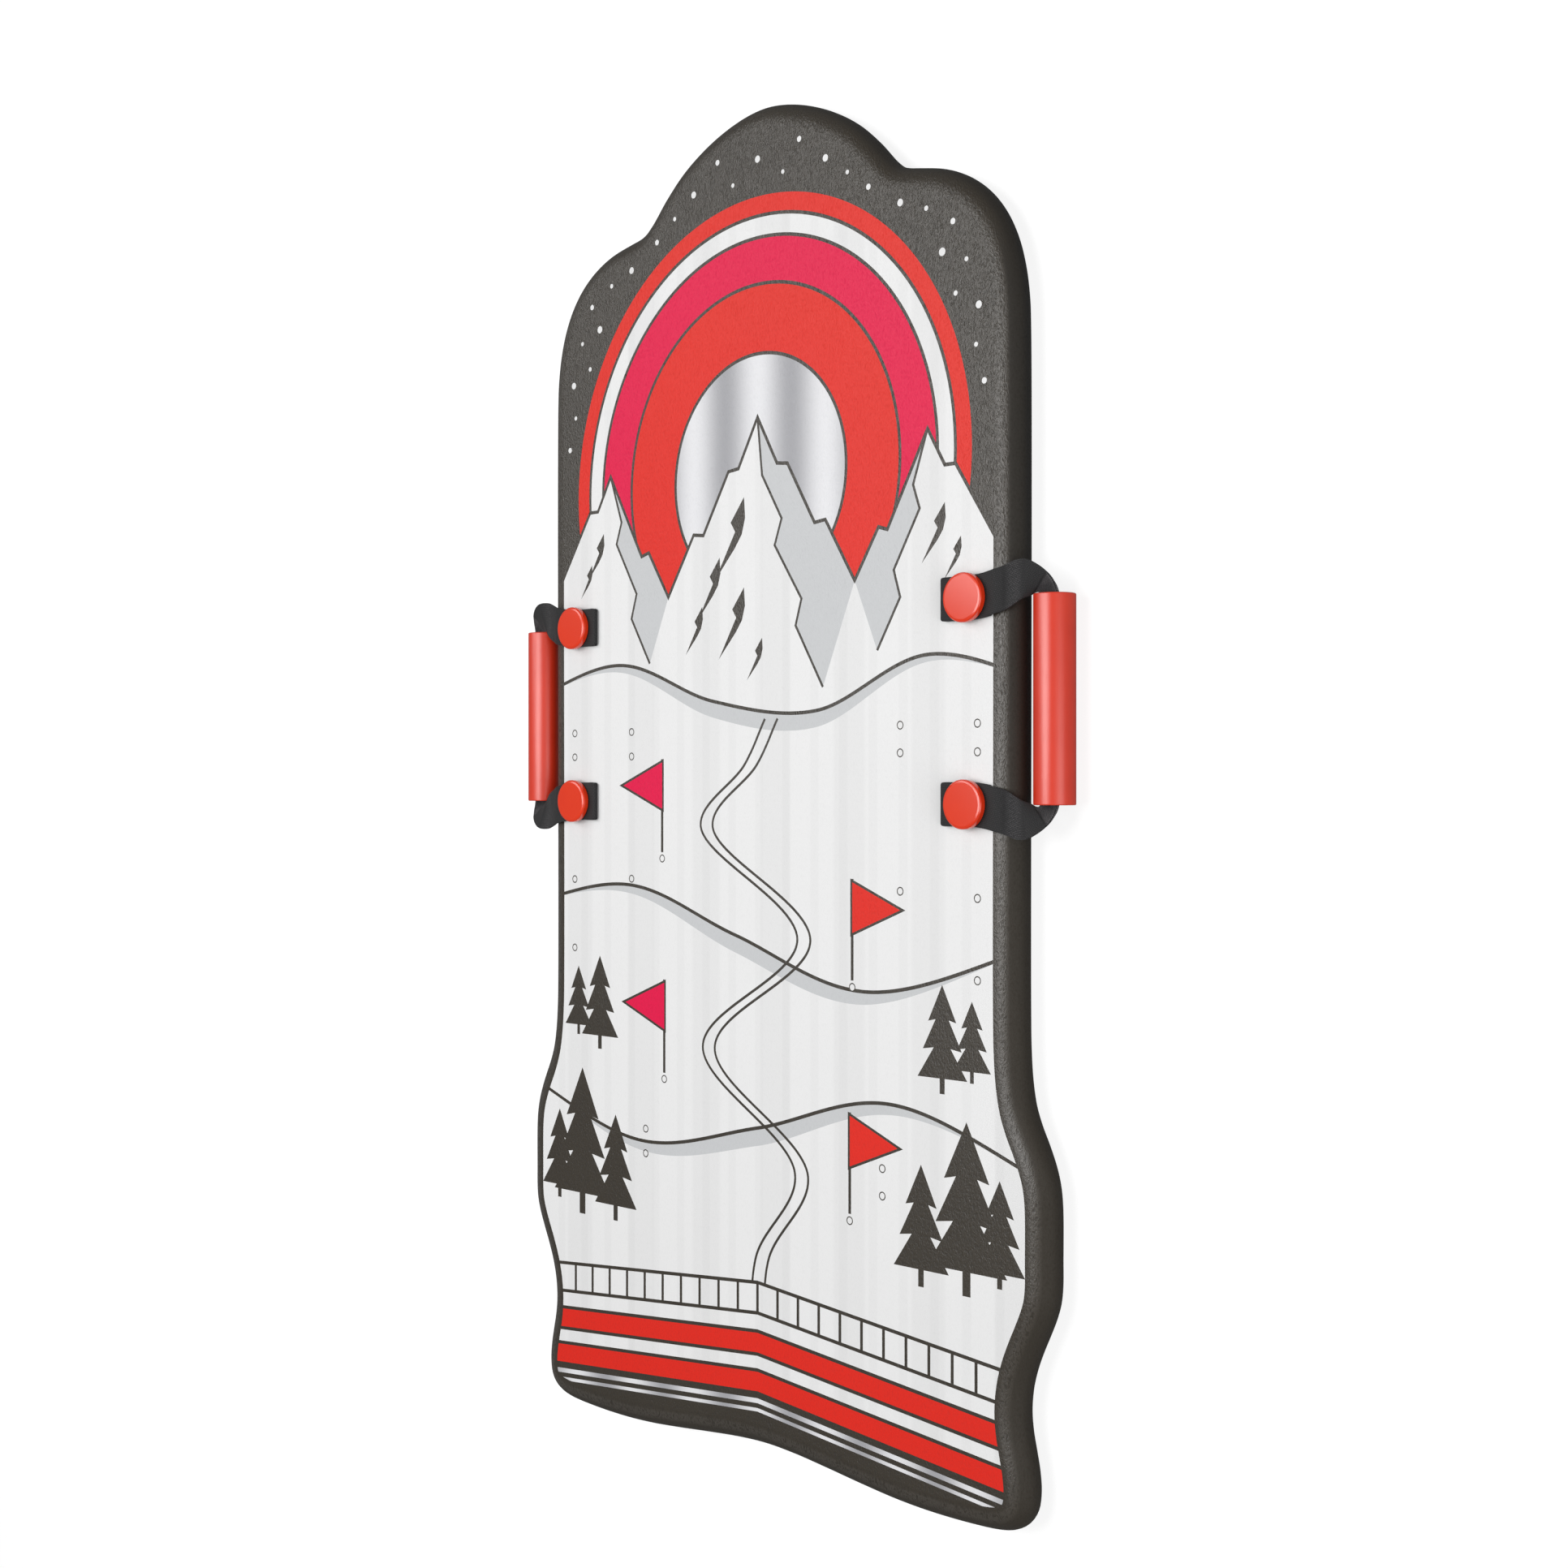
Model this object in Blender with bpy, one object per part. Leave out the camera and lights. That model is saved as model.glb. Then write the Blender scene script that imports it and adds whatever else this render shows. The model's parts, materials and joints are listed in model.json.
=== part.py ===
"""Foam sled with two webbing handles.

A foam board in a wrapped film skin runs on a hard plastic sheet. Four buttons with hollow barrels
pass through the board and lock over plugs let in from below, and each holds one end of a webbing
handle. A loose grip tube turns on each handle.

Frame: +X across the board, +Y towards the nose, +Z up from the running face, which lies at Z = 0.
Metres throughout.
"""

import math
from collections import namedtuple

import bmesh
import bpy
from mathutils import Vector

# Assembly clearance between pieces that touch
CLEARANCE = 0.0003

# Board outline, measured at the widest part of the rounded rail
BOARD_LENGTH = 0.838
BODY_WIDTH = 0.404
FIN_WIDTH = 0.449
WAIST_WIDTH = 0.406
TAIL_WIDTH = 0.419
NOSE_FLANK_WIDTH = 0.181
VALLEY_WIDTH = 0.222
SHOULDER_WIDTH = 0.248
TAIL_LOBE_SPACING = 0.268

# Distances back from the nose tip
NOSE_FLANK_BACK = 0.0397
VALLEY_BACK = 0.0587
SHOULDER_BACK = 0.0622
SIDE_TOP_BACK = 0.1645

# Distances forward from the tail's two lobes
SIDE_END_FORWARD = 0.294
FLARE_FORWARD = 0.2305
FIN_FORWARD = 0.1425
WAIST_FORWARD = 0.070
TAIL_SIDE_FORWARD = 0.0265
TAIL_CORNER_FORWARD = 0.002
TAIL_NOTCH_DEPTH = 0.0105

# How far the flare has widened half way, and how far the tail corner has turned in
FLARE_STEP = 0.008
TAIL_CORNER_STEP = 0.0235

# Board section
FOAM_THICKNESS = 0.0228
RAIL_RADIUS = FOAM_THICKNESS / 2
SKIN_THICKNESS = 0.0015
SKIN_LIP = 0.003
SLICK_THICKNESS = 0.0015
SLICK_INSET = 0.0098
SLICK_BEVEL = 0.0008

# Handle fasteners
BUTTON_INSET = 0.031
BUTTON_SPACING = 0.1157
BUTTON_RADIUS = 0.014
BUTTON_HEIGHT = 0.0045
BUTTON_BEVEL = 0.0011
HANDLE_FORWARD = 0.0464
BARREL_RADIUS = 0.005
BARREL_WALL = 0.0016
BARREL_ROOF = 0.004
PLUG_RADIUS = 0.013
PLUG_FLANGE = 0.002
PLUG_BEVEL = 0.0006
PLUG_REACH = 0.013
PLUG_RECESS = 0.0003

# Webbing
WEB_WIDTH = 0.025
WEB_THICKNESS = 0.0015
TAB_TAIL = 0.020
TAB_FOLD_LENGTH = 0.034
TAB_RISE = 0.0026
HINGE_CLEARANCE = 0.0007

# Grip
GRIP_LENGTH = 0.116
GRIP_RADIUS = 0.01175
GRIP_WALL = 0.003
GRIP_BEVEL = 0.0006
GRIP_GAP = 0.0078
GRIP_DROP = 0.0113

# Handle loop: how the webbing droops over the rail and gathers into the grip
DROOP_START_REACH = 0.013
DROOP_END_REACH = 0.014
DROOP_END_ANGLE = math.radians(-42)
ELBOW_START_ANGLE = math.radians(27)
ELBOW_START_REACH = 0.0165
ELBOW_END_REACH = 0.008
CURL_RADIUS = 0.0040
CURL_HALF_ANGLE = math.radians(145)
CURL_OFFSET = 0.0035
CURL_START = 0.10
CURL_END = 0.84
STRAIGHT_END = 0.2
MOUTH_GAP = 0.0008
ROUNDED_EDGE = math.radians(80)

# Fineness of the faceted surfaces
CHORD_ERROR = 0.0004
RAIL_STEPS = 8
CORE_RAIL_STEPS = 6
TURN_SEGMENTS = 28
BARREL_SEGMENTS = 20
FOLD_STEPS = 6
NOSE_STEPS = 3
ELBOW_STEPS = 12
DROOP_SAMPLES = 60
WEB_STRIPS = 6

# Heights worked out from the sizes above
FOAM_BOTTOM = SLICK_THICKNESS + CLEARANCE
RAIL_CENTRE = FOAM_BOTTOM + RAIL_RADIUS
DECK = FOAM_BOTTOM + FOAM_THICKNESS
LOWER_LAYER = DECK + CLEARANCE + WEB_THICKNESS / 2
UPPER_LAYER = LOWER_LAYER + WEB_THICKNESS + CLEARANCE
BUTTON_SEAT = UPPER_LAYER + WEB_THICKNESS / 2 + CLEARANCE
FLANGE_TOP = PLUG_RECESS + PLUG_FLANGE
BARREL_FOOT = FLANGE_TOP + CLEARANCE

# Places across the board
BUTTON_X = BODY_WIDTH / 2 - BUTTON_INSET
HINGE_X = BODY_WIDTH / 2 - RAIL_RADIUS
GRIP_X = BODY_WIDTH / 2 + GRIP_GAP + GRIP_RADIUS
GRIP_Z = DECK - GRIP_DROP
GRIP_BORE = GRIP_RADIUS - GRIP_WALL

SIDES = {"right": 1, "left": -1}
ENDS = {"front": 1, "rear": -1}

Knot = namedtuple("Knot", "x y heading back ahead")
Section = namedtuple("Section", "centre across out thickness curl radius")
Finish = namedtuple("Finish", "colour roughness metallic")

FINISHES = {
    "skin": Finish((0.075, 0.062, 0.055), 0.62, 0.0),
    "foam": Finish((0.78, 0.78, 0.76), 0.85, 0.0),
    "slick": Finish((0.055, 0.055, 0.060), 0.35, 0.0),
    "red_plastic": Finish((0.74, 0.075, 0.045), 0.38, 0.0),
    "webbing": Finish((0.020, 0.020, 0.022), 0.80, 0.0),
}


def clear_scene():
    """Remove every object that the file starts with."""
    for thing in list(bpy.data.objects):
        bpy.data.objects.remove(thing, do_unlink=True)


def make_material(name, finish):
    """Make a Principled material."""
    material = bpy.data.materials.new(name)
    material.use_nodes = True
    shader = material.node_tree.nodes["Principled BSDF"]
    shader.inputs["Base Color"].default_value = (*finish.colour, 1.0)
    shader.inputs["Roughness"].default_value = finish.roughness
    shader.inputs["Metallic"].default_value = finish.metallic
    return material


def add_object(name, bm, finish, place=(0, 0, 0)):
    """Turn a bmesh into a named object with its own material, its faces pointing out."""
    bmesh.ops.recalc_face_normals(bm, faces=bm.faces)
    mesh = bpy.data.meshes.new(name)
    bm.to_mesh(mesh)
    bm.free()
    mesh.shade_smooth()
    mesh.set_sharp_from_angle(angle=math.radians(30))
    made = bpy.data.objects.new(name, mesh)
    made.location = place
    if finish:
        mesh.materials.append(make_material(name, FINISHES[finish]))
    bpy.context.scene.collection.objects.link(made)
    return made


def bezier(p0, p1, p2, p3, t):
    """Point and direction of a cubic Bezier curve at t."""
    u = 1 - t
    point = u**3 * p0 + 3 * u * u * t * p1 + 3 * u * t * t * p2 + t**3 * p3
    direction = u * u * (p1 - p0) + 2 * u * t * (p2 - p1) + t * t * (p3 - p2)
    return point, direction.normalized()


def heading(angle):
    """Unit vector in the plane at an angle from +X."""
    return Vector((math.cos(angle), math.sin(angle)))


def half_outline_knots():
    """The knots of the board's right half outline, from the nose tip round to the tail notch."""
    nose = BOARD_LENGTH / 2
    tail = -BOARD_LENGTH / 2
    side = BODY_WIDTH / 2
    return [
        Knot(0, nose, 0, 0, 0.025),
        Knot(NOSE_FLANK_WIDTH / 2, nose - NOSE_FLANK_BACK, -46, 0.035, 0.018),
        Knot(VALLEY_WIDTH / 2, nose - VALLEY_BACK, -26, 0.005, 0.004),
        Knot(SHOULDER_WIDTH / 2, nose - SHOULDER_BACK, -8, 0.004, 0.062),
        Knot(side, nose - SIDE_TOP_BACK, -90, 0.050, 0.030),
        Knot(side, tail + SIDE_END_FORWARD, -90, 0.030, 0.035),
        Knot(side + FLARE_STEP, tail + FLARE_FORWARD, -63, 0.013, 0.038),
        Knot(FIN_WIDTH / 2, tail + FIN_FORWARD, -90, 0.054, 0.024),
        Knot(WAIST_WIDTH / 2, tail + WAIST_FORWARD, -90, 0.031, 0.015),
        Knot(TAIL_WIDTH / 2, tail + TAIL_SIDE_FORWARD, -90, 0.017, 0.017),
        Knot(TAIL_WIDTH / 2 - TAIL_CORNER_STEP, tail + TAIL_CORNER_FORWARD, -172, 0.014, 0.011),
        Knot(TAIL_LOBE_SPACING / 2, tail, -180, 0.021, 0.042),
        Knot(0, tail + TAIL_NOTCH_DEPTH, -180, 0.038, 0),
    ]


def board_outline():
    """The whole outline, counter-clockwise, as pairs of a point and its outward normal."""
    half = []
    knots = half_outline_knots()
    for here, there in zip(knots[:-1], knots[1:]):
        p0 = Vector((here.x, here.y))
        p3 = Vector((there.x, there.y))
        p1 = p0 + here.ahead * heading(math.radians(here.heading))
        p2 = p3 - there.back * heading(math.radians(there.heading))
        turn = (p1 - p0).angle(p2 - p1) + (p2 - p1).angle(p3 - p2)
        steps = max(1, math.ceil(math.sqrt((p3 - p0).length * turn / (8 * CHORD_ERROR))))
        for step in range(steps):
            point, direction = bezier(p0, p1, p2, p3, step / steps)
            half.append((point, Vector((-direction.y, direction.x))))
    half.append((Vector((0, knots[-1].y)), Vector((0, -1))))
    mirrored = [(Vector((-p.x, p.y)), Vector((-n.x, n.y))) for p, n in half[1:-1]]
    return list(reversed(half)) + mirrored


def swept_round_board(name, profile, finish):
    """A closed solid whose section, (inset, height) pairs from cap to cap, follows the outline."""
    bm = bmesh.new()
    outline = board_outline()
    rings = []
    for inset, height in profile:
        places = [point - normal * inset for point, normal in outline]
        rings.append([bm.verts.new((place.x, place.y, height)) for place in places])
    count = len(outline)
    for upper, lower in zip(rings[:-1], rings[1:]):
        for i in range(count):
            j = (i + 1) % count
            bm.faces.new((lower[i], lower[j], upper[j], upper[i]))
    bm.faces.new(rings[0])
    bm.faces.new(reversed(rings[-1]))
    return add_object(name, bm, finish)


def rail_arc(radius, start, end, steps):
    """(inset, height) pairs along the rounded rail, from one angle above level to another."""
    pairs = []
    for step in range(steps + 1):
        angle = math.radians(start + (end - start) * step / steps)
        inset = RAIL_RADIUS - radius * math.cos(angle)
        pairs.append((inset, RAIL_CENTRE + radius * math.sin(angle)))
    return pairs


def turned(name, profile, place, finish):
    """A turned solid: (radius, height) pairs, from axis to axis or in a ring clear of it."""
    bm = bmesh.new()
    angles = [2 * math.pi * i / TURN_SEGMENTS for i in range(TURN_SEGMENTS)]
    rings = []
    for radius, height in profile:
        if radius == 0:
            rings.append([bm.verts.new((0, 0, height))])
            continue
        points = [(radius * math.cos(a), radius * math.sin(a), height) for a in angles]
        rings.append([bm.verts.new(point) for point in points])
    if profile[0][0] > 0:
        rings.append(rings[0])
    for upper, lower in zip(rings[:-1], rings[1:]):
        for i in range(TURN_SEGMENTS):
            j = (i + 1) % TURN_SEGMENTS
            corners = [lower[i % len(lower)], lower[j % len(lower)]]
            corners += [upper[j % len(upper)], upper[i % len(upper)]]
            bm.faces.new(list(dict.fromkeys(corners)))
    return add_object(name, bm, finish, place)


def fastener_places():
    """Every fastener's name and its place on the deck plan."""
    places = {}
    for side, across in SIDES.items():
        for end, along in ENDS.items():
            y = HANDLE_FORWARD + along * BUTTON_SPACING / 2
            places[f"{end}_{side}"] = Vector((across * BUTTON_X, y, 0))
    return places


def drill(target, name, radius, low, high, places):
    """Cut a round hole at each place, with one hidden cutter for all of them."""
    bm = bmesh.new()
    for place in places:
        made = bmesh.ops.create_cone(
            bm,
            cap_ends=True,
            segments=BARREL_SEGMENTS,
            radius1=radius,
            radius2=radius,
            depth=high - low,
        )
        middle = Vector((place.x, place.y, (low + high) / 2))
        bmesh.ops.translate(bm, verts=made["verts"], vec=middle)
    cutter = add_object(name, bm, None)
    cutter.hide_render = True
    cutter.display_type = "WIRE"
    cut = target.modifiers.new(name, "BOOLEAN")
    cut.operation = "DIFFERENCE"
    cut.solver = "EXACT"
    cut.object = cutter


def make_board(places):
    """The foam core, its wrapped skin and the hard running sheet, drilled for the fasteners."""
    hole = BARREL_RADIUS + CLEARANCE
    recess = PLUG_RADIUS + CLEARANCE
    below = -FOAM_THICKNESS
    above = DECK + FOAM_THICKNESS
    inner = RAIL_RADIUS - SKIN_THICKNESS
    lip = RAIL_RADIUS + SKIN_LIP

    skin_profile = rail_arc(RAIL_RADIUS, 90, -90, RAIL_STEPS)
    skin_profile += [(lip, FOAM_BOTTOM), (lip, FOAM_BOTTOM + SKIN_THICKNESS)]
    skin_profile += rail_arc(inner, -90, 90, CORE_RAIL_STEPS)
    skin = swept_round_board("deck_skin", skin_profile, "skin")
    drill(skin, "deck_holes", hole, below, above, places)

    core_profile = rail_arc(inner - CLEARANCE, 90, -90, CORE_RAIL_STEPS)
    step = lip + CLEARANCE
    core_profile += [(step, core_profile[-1][1]), (step, FOAM_BOTTOM)]
    core = swept_round_board("foam_core", core_profile, "foam")
    drill(core, "core_holes", hole, below, above, places)
    drill(core, "core_recesses", recess, below, FLANGE_TOP + CLEARANCE, places)

    slick_profile = [
        (SLICK_INSET, SLICK_THICKNESS),
        (SLICK_INSET, SLICK_BEVEL),
        (SLICK_INSET + SLICK_BEVEL, 0),
    ]
    slick = swept_round_board("slick_bottom", slick_profile, "slick")
    drill(slick, "slick_holes", recess, below, above, places)


def make_button(name, place):
    """A flat round head on a hollow barrel that reaches down to the plug's flange."""
    bore = BARREL_RADIUS - BARREL_WALL
    top = BUTTON_SEAT + BUTTON_HEIGHT
    profile = [
        (0, top),
        (BUTTON_RADIUS - BUTTON_BEVEL, top),
        (BUTTON_RADIUS - BUTTON_BEVEL / 3, top - BUTTON_BEVEL / 3),
        (BUTTON_RADIUS, top - BUTTON_BEVEL),
        (BUTTON_RADIUS, BUTTON_SEAT + BUTTON_BEVEL / 2),
        (BUTTON_RADIUS - BUTTON_BEVEL / 2, BUTTON_SEAT),
        (BARREL_RADIUS, BUTTON_SEAT),
        (BARREL_RADIUS, BARREL_FOOT),
        (bore, BARREL_FOOT),
        (bore, DECK - BARREL_ROOF),
        (0, DECK - BARREL_ROOF),
    ]
    return turned(name, profile, place, "red_plastic")


def make_plug(name, place):
    """A flanged plug let into the running face, its shank up inside the barrel."""
    shank = BARREL_RADIUS - BARREL_WALL - CLEARANCE
    profile = [
        (0, FLANGE_TOP + PLUG_REACH),
        (shank - PLUG_BEVEL, FLANGE_TOP + PLUG_REACH),
        (shank, FLANGE_TOP + PLUG_REACH - PLUG_BEVEL),
        (shank, FLANGE_TOP),
        (PLUG_RADIUS, FLANGE_TOP),
        (PLUG_RADIUS, PLUG_RECESS + PLUG_BEVEL),
        (PLUG_RADIUS - PLUG_BEVEL, PLUG_RECESS),
        (0, PLUG_RECESS),
    ]
    return turned(name, profile, place, "red_plastic")


def section_points(section):
    """The two faces of a webbing section, as rows of points from one edge to the other."""
    outer = []
    inner = []
    half_length = WEB_WIDTH / 2
    for strip in range(WEB_STRIPS + 1):
        share = 2 * strip / WEB_STRIPS - 1
        if section.curl > 0:
            angle = share * section.curl
            sideways = section.radius * math.sin(angle)
            rise = section.radius * (math.cos(angle) - 1)
            normal = section.out * math.cos(angle) + section.across * math.sin(angle)
        else:
            sideways = share * half_length
            rise = 0
            normal = section.out
        middle = section.centre + section.across * sideways + section.out * rise
        outer.append(middle + normal * section.thickness / 2)
        inner.append(middle - normal * section.thickness / 2)
    return outer, inner


def lofted_webbing(name, sections, place):
    """A closed strip of webbing through its sections, with its origin at a place."""
    bm = bmesh.new()
    loops = []
    for section in sections:
        outer, inner = section_points(section)
        loops.append([bm.verts.new(point - place) for point in outer + inner[::-1]])
    for here, there in zip(loops[:-1], loops[1:]):
        for i in range(len(here)):
            j = (i + 1) % len(here)
            bm.faces.new((here[i], here[j], there[j], there[i]))
    width = WEB_STRIPS + 1
    for end in (loops[0], loops[-1]):
        for i in range(width - 1):
            bm.faces.new((end[i], end[i + 1], end[-i - 2], end[-i - 1]))
    return add_object(name, bm, "webbing", place)


def flat_section(centre, across, out, thickness=WEB_THICKNESS):
    """A webbing section that isn't curled."""
    return Section(centre, across, out, thickness, 0, 0)


def make_tab(name, side, end):
    """The folded end of a strap, pierced by its button's barrel."""
    across = SIDES[side]
    along = ENDS[end]
    y = HANDLE_FORWARD + along * BUTTON_SPACING / 2
    fold_radius = (UPPER_LAYER - LOWER_LAYER) / 2
    fold_x = BUTTON_X - TAB_TAIL + fold_radius + WEB_THICKNESS / 2
    tab_end = HINGE_X - WEB_THICKNESS / 2 - HINGE_CLEARANCE
    reach = HINGE_X - BUTTON_X

    def drift(x):
        """How far the strap has bent towards its handle's end at x."""
        return TAB_RISE * max(0, (x - BUTTON_X) / reach) ** 2

    path = []
    lower_end = fold_x + TAB_FOLD_LENGTH
    for step in range(FOLD_STEPS // 2):
        x = lower_end + (BUTTON_X - lower_end) * 2 * step / FOLD_STEPS
        path.append((x, LOWER_LAYER, Vector((0, 0, -1))))
    path.append((BUTTON_X, LOWER_LAYER, Vector((0, 0, -1))))
    for step in range(FOLD_STEPS + 1):
        angle = math.radians(-90 - 180 * step / FOLD_STEPS)
        out = Vector((math.cos(angle), 0, math.sin(angle)))
        height = LOWER_LAYER + fold_radius + fold_radius * out.z
        path.append((fold_x + fold_radius * out.x, height, out))
    for step in range(FOLD_STEPS + 1):
        x = BUTTON_X + (tab_end - BUTTON_X) * step / FOLD_STEPS
        path.append((x, UPPER_LAYER, Vector((0, 0, 1))))

    sections = []
    for x, height, out in path:
        centre = Vector((across * x, y + along * drift(x), height))
        sections.append(flat_section(centre, Vector((0, 1, 0)), Vector((across * out.x, 0, out.z))))
    place = Vector((across * BUTTON_X, y, 0))
    tab = lofted_webbing(name, sections, place)
    drill(tab, name + "_hole", BARREL_RADIUS + CLEARANCE, DECK, BUTTON_SEAT + DECK, [place])


def droop_curve():
    """Samples of the strap's fall over the rail: run along it, place (x, z) and direction."""
    p0 = Vector((HINGE_X, UPPER_LAYER))
    p3 = Vector((GRIP_X, GRIP_Z))
    p1 = p0 + Vector((DROOP_START_REACH, 0))
    p2 = p3 - DROOP_END_REACH * heading(DROOP_END_ANGLE)
    samples = []
    run = 0
    for i in range(DROOP_SAMPLES + 1):
        point, direction = bezier(p0, p1, p2, p3, i / DROOP_SAMPLES)
        if samples:
            run += (point - samples[-1][1]).length
        samples.append((run, point, direction))
    return samples


def on_droop(samples, run):
    """Place and direction at a run along the droop curve."""
    for (r0, p0, d0), (r1, p1, d1) in zip(samples[:-1], samples[1:]):
        if run <= r1:
            share = (run - r0) / (r1 - r0)
            return p0.lerp(p1, share), d0.lerp(d1, share).normalized()
    return samples[-1][1], samples[-1][2]


def elbow_curve(grip_run):
    """The strap's centre line in the unrolled droop surface: (run, y) from hinge to grip."""
    start = Vector((0, BUTTON_SPACING / 2 + TAB_RISE))
    mouth = Vector((grip_run, GRIP_LENGTH / 2 + MOUTH_GAP))
    p1 = start + ELBOW_START_REACH * heading(ELBOW_START_ANGLE)
    p2 = mouth + Vector((0, ELBOW_END_REACH))
    return start, p1, p2, mouth


def smooth_share(value, low, high):
    """0 below low, 1 above high, easing between them."""
    share = min(1, max(0, (value - low) / (high - low)))
    return share * share * (3 - 2 * share)


def loop_section(samples, place, direction, gathered, thickness, across, along):
    """One section of a handle loop, from its (run, y) place on the unrolled droop surface."""
    fallen, slope = on_droop(samples, place.x)
    forward = Vector((slope.x, 0, slope.y))
    out = Vector((-slope.y, 0, slope.x))
    sideways = Vector((0, direction.x, 0)) - forward * direction.y
    curl = CURL_HALF_ANGLE * gathered
    radius = WEB_WIDTH / 2 / curl if gathered else 0
    radius += (CURL_RADIUS - WEB_WIDTH / 2 / CURL_HALF_ANGLE) * gathered
    centre = Vector((fallen.x, place.y, fallen.y)) + out * CURL_RADIUS * gathered
    mirror = Vector((across, along, 1))
    shift = Vector((0, HANDLE_FORWARD, 0))
    return Section(
        centre * mirror + shift, sideways * mirror, out * mirror, thickness, curl, radius
    )


def make_loop(name, side):
    """One handle's free webbing: out from the deck, round into the grip and back."""
    across = SIDES[side]
    samples = droop_curve()
    grip_run = samples[-1][0] - CURL_OFFSET
    curve = elbow_curve(grip_run)
    half = []
    for step in range(NOSE_STEPS, 0, -1):
        angle = ROUNDED_EDGE * step / NOSE_STEPS
        place = curve[0] - Vector((WEB_THICKNESS / 2 * math.sin(angle), 0))
        half.append((place, Vector((1, 0)), 0, WEB_THICKNESS * math.cos(angle)))
    for step in range(ELBOW_STEPS + 1):
        t = step / ELBOW_STEPS
        place, direction = bezier(*curve, t)
        bent = smooth_share(t, 0, STRAIGHT_END)
        direction = Vector((1, 0)).lerp(direction, bent).normalized()
        half.append((place, direction, smooth_share(t, CURL_START, CURL_END), WEB_THICKNESS))
    sections = []
    for along in (1, -1):
        ordered = half if along > 0 else reversed(half)
        for place, direction, gathered, thickness in ordered:
            sections.append(
                loop_section(samples, place, direction, gathered, thickness, across, along)
            )
    hinge = Vector((across * HINGE_X, HANDLE_FORWARD, UPPER_LAYER))
    return lofted_webbing(name, sections, hinge)


def make_grip(name, side):
    """A plain tube with softened ends, lying along the board beside the rail."""
    half = GRIP_LENGTH / 2
    corner = GRIP_RADIUS - GRIP_BEVEL
    mouth = GRIP_BORE + GRIP_BEVEL
    profile = [
        (mouth, half),
        (corner, half),
        (GRIP_RADIUS, half - GRIP_BEVEL),
        (GRIP_RADIUS, GRIP_BEVEL - half),
        (corner, -half),
        (mouth, -half),
        (GRIP_BORE, GRIP_BEVEL - half),
        (GRIP_BORE, half - GRIP_BEVEL),
    ]
    place = Vector((SIDES[side] * GRIP_X, HANDLE_FORWARD, GRIP_Z))
    grip = turned(name, profile, place, "red_plastic")
    grip.rotation_euler.x = math.radians(-90)
    return grip


def make_handles():
    """Each side's folded tabs, free loop and grip."""
    for side in SIDES:
        for end in ENDS:
            make_tab(f"strap_tab_{end}_{side}", side, end)
        make_loop(f"strap_loop_{side}", side)
        make_grip(f"grip_{side}", side)


def main():
    """Build the sled."""
    clear_scene()
    places = fastener_places()
    make_board(places.values())
    for where, place in places.items():
        make_button(f"button_{where}", place)
        make_plug(f"plug_{where}", place)
    make_handles()


main()
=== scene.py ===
"""Looks of a foam sled: a wrapped, printed foam board with a webbing handle on each side.

Metres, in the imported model's frame: +X across the board, +Y towards the nose, +Z up.
"""

import json
import logging
import math
from collections.abc import Iterable, Sequence
from dataclasses import dataclass
from enum import Enum
from typing import Union

import bmesh
import bpy
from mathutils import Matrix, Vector, geometry


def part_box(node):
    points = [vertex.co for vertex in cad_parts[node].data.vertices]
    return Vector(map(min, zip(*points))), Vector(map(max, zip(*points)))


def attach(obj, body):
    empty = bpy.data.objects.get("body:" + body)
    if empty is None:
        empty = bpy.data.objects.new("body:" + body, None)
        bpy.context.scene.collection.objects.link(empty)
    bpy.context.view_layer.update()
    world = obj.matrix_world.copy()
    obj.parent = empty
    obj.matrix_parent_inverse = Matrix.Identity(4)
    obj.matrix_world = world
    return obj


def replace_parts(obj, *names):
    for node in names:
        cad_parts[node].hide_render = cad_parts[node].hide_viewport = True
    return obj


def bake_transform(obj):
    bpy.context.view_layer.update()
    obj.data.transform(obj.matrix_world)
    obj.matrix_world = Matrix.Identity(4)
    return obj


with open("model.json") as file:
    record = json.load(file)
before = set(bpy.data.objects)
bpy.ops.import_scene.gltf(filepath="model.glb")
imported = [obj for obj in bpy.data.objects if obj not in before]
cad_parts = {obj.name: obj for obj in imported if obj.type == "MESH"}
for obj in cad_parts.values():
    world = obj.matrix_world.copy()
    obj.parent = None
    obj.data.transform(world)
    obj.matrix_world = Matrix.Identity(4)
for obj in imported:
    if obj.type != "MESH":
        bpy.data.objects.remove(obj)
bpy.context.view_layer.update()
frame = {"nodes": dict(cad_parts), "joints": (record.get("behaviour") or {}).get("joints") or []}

MM = 0.001
STRAP_PLACE = "strap_place"
UP = Vector((0, 0, 1))
BLACK = (0.0, 0.0, 0.0)

# Sockets of a Mix node of colours, by number: its other kinds have the same names
MIX_SHARE = 0
MIX_FIRST = 6
MIX_SECOND = 7
MIX_RESULT = 2

# A plan is split into triangles inside its loops, and points this near are one, in millimetres
INSIDE_LOOPS = 1
PLAN_WELD = 1e-4

# Vertices this near are one, and a smaller angle between faces, in degrees, is shaded smooth
MESH_WELD = 2e-6
SOFT_ANGLE = 35.0

TURNED_SIDES = 96
FILLET_STEPS = 5

Colour = tuple[float, float, float]
Spot = tuple[float, float, float]
Point = tuple[float, float]
Span = tuple[float, float]
Corner = tuple[Point, float]
Number = Union[float, "Value"]
Vert = bmesh.types.BMVert

log = logging.getLogger("sled")


class Side(Enum):
    """A side of the board, valued by its sign along X."""

    RIGHT = 1
    LEFT = -1

    @property
    def word(self) -> str:
        """The side's name in the names of its pieces."""
        return self.name.lower()


class End(Enum):
    """An end of a handle, valued by its sign along Y."""

    FRONT = 1
    REAR = -1

    @property
    def word(self) -> str:
        """The end's name in the names of its pieces."""
        return self.name.lower()


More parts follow.
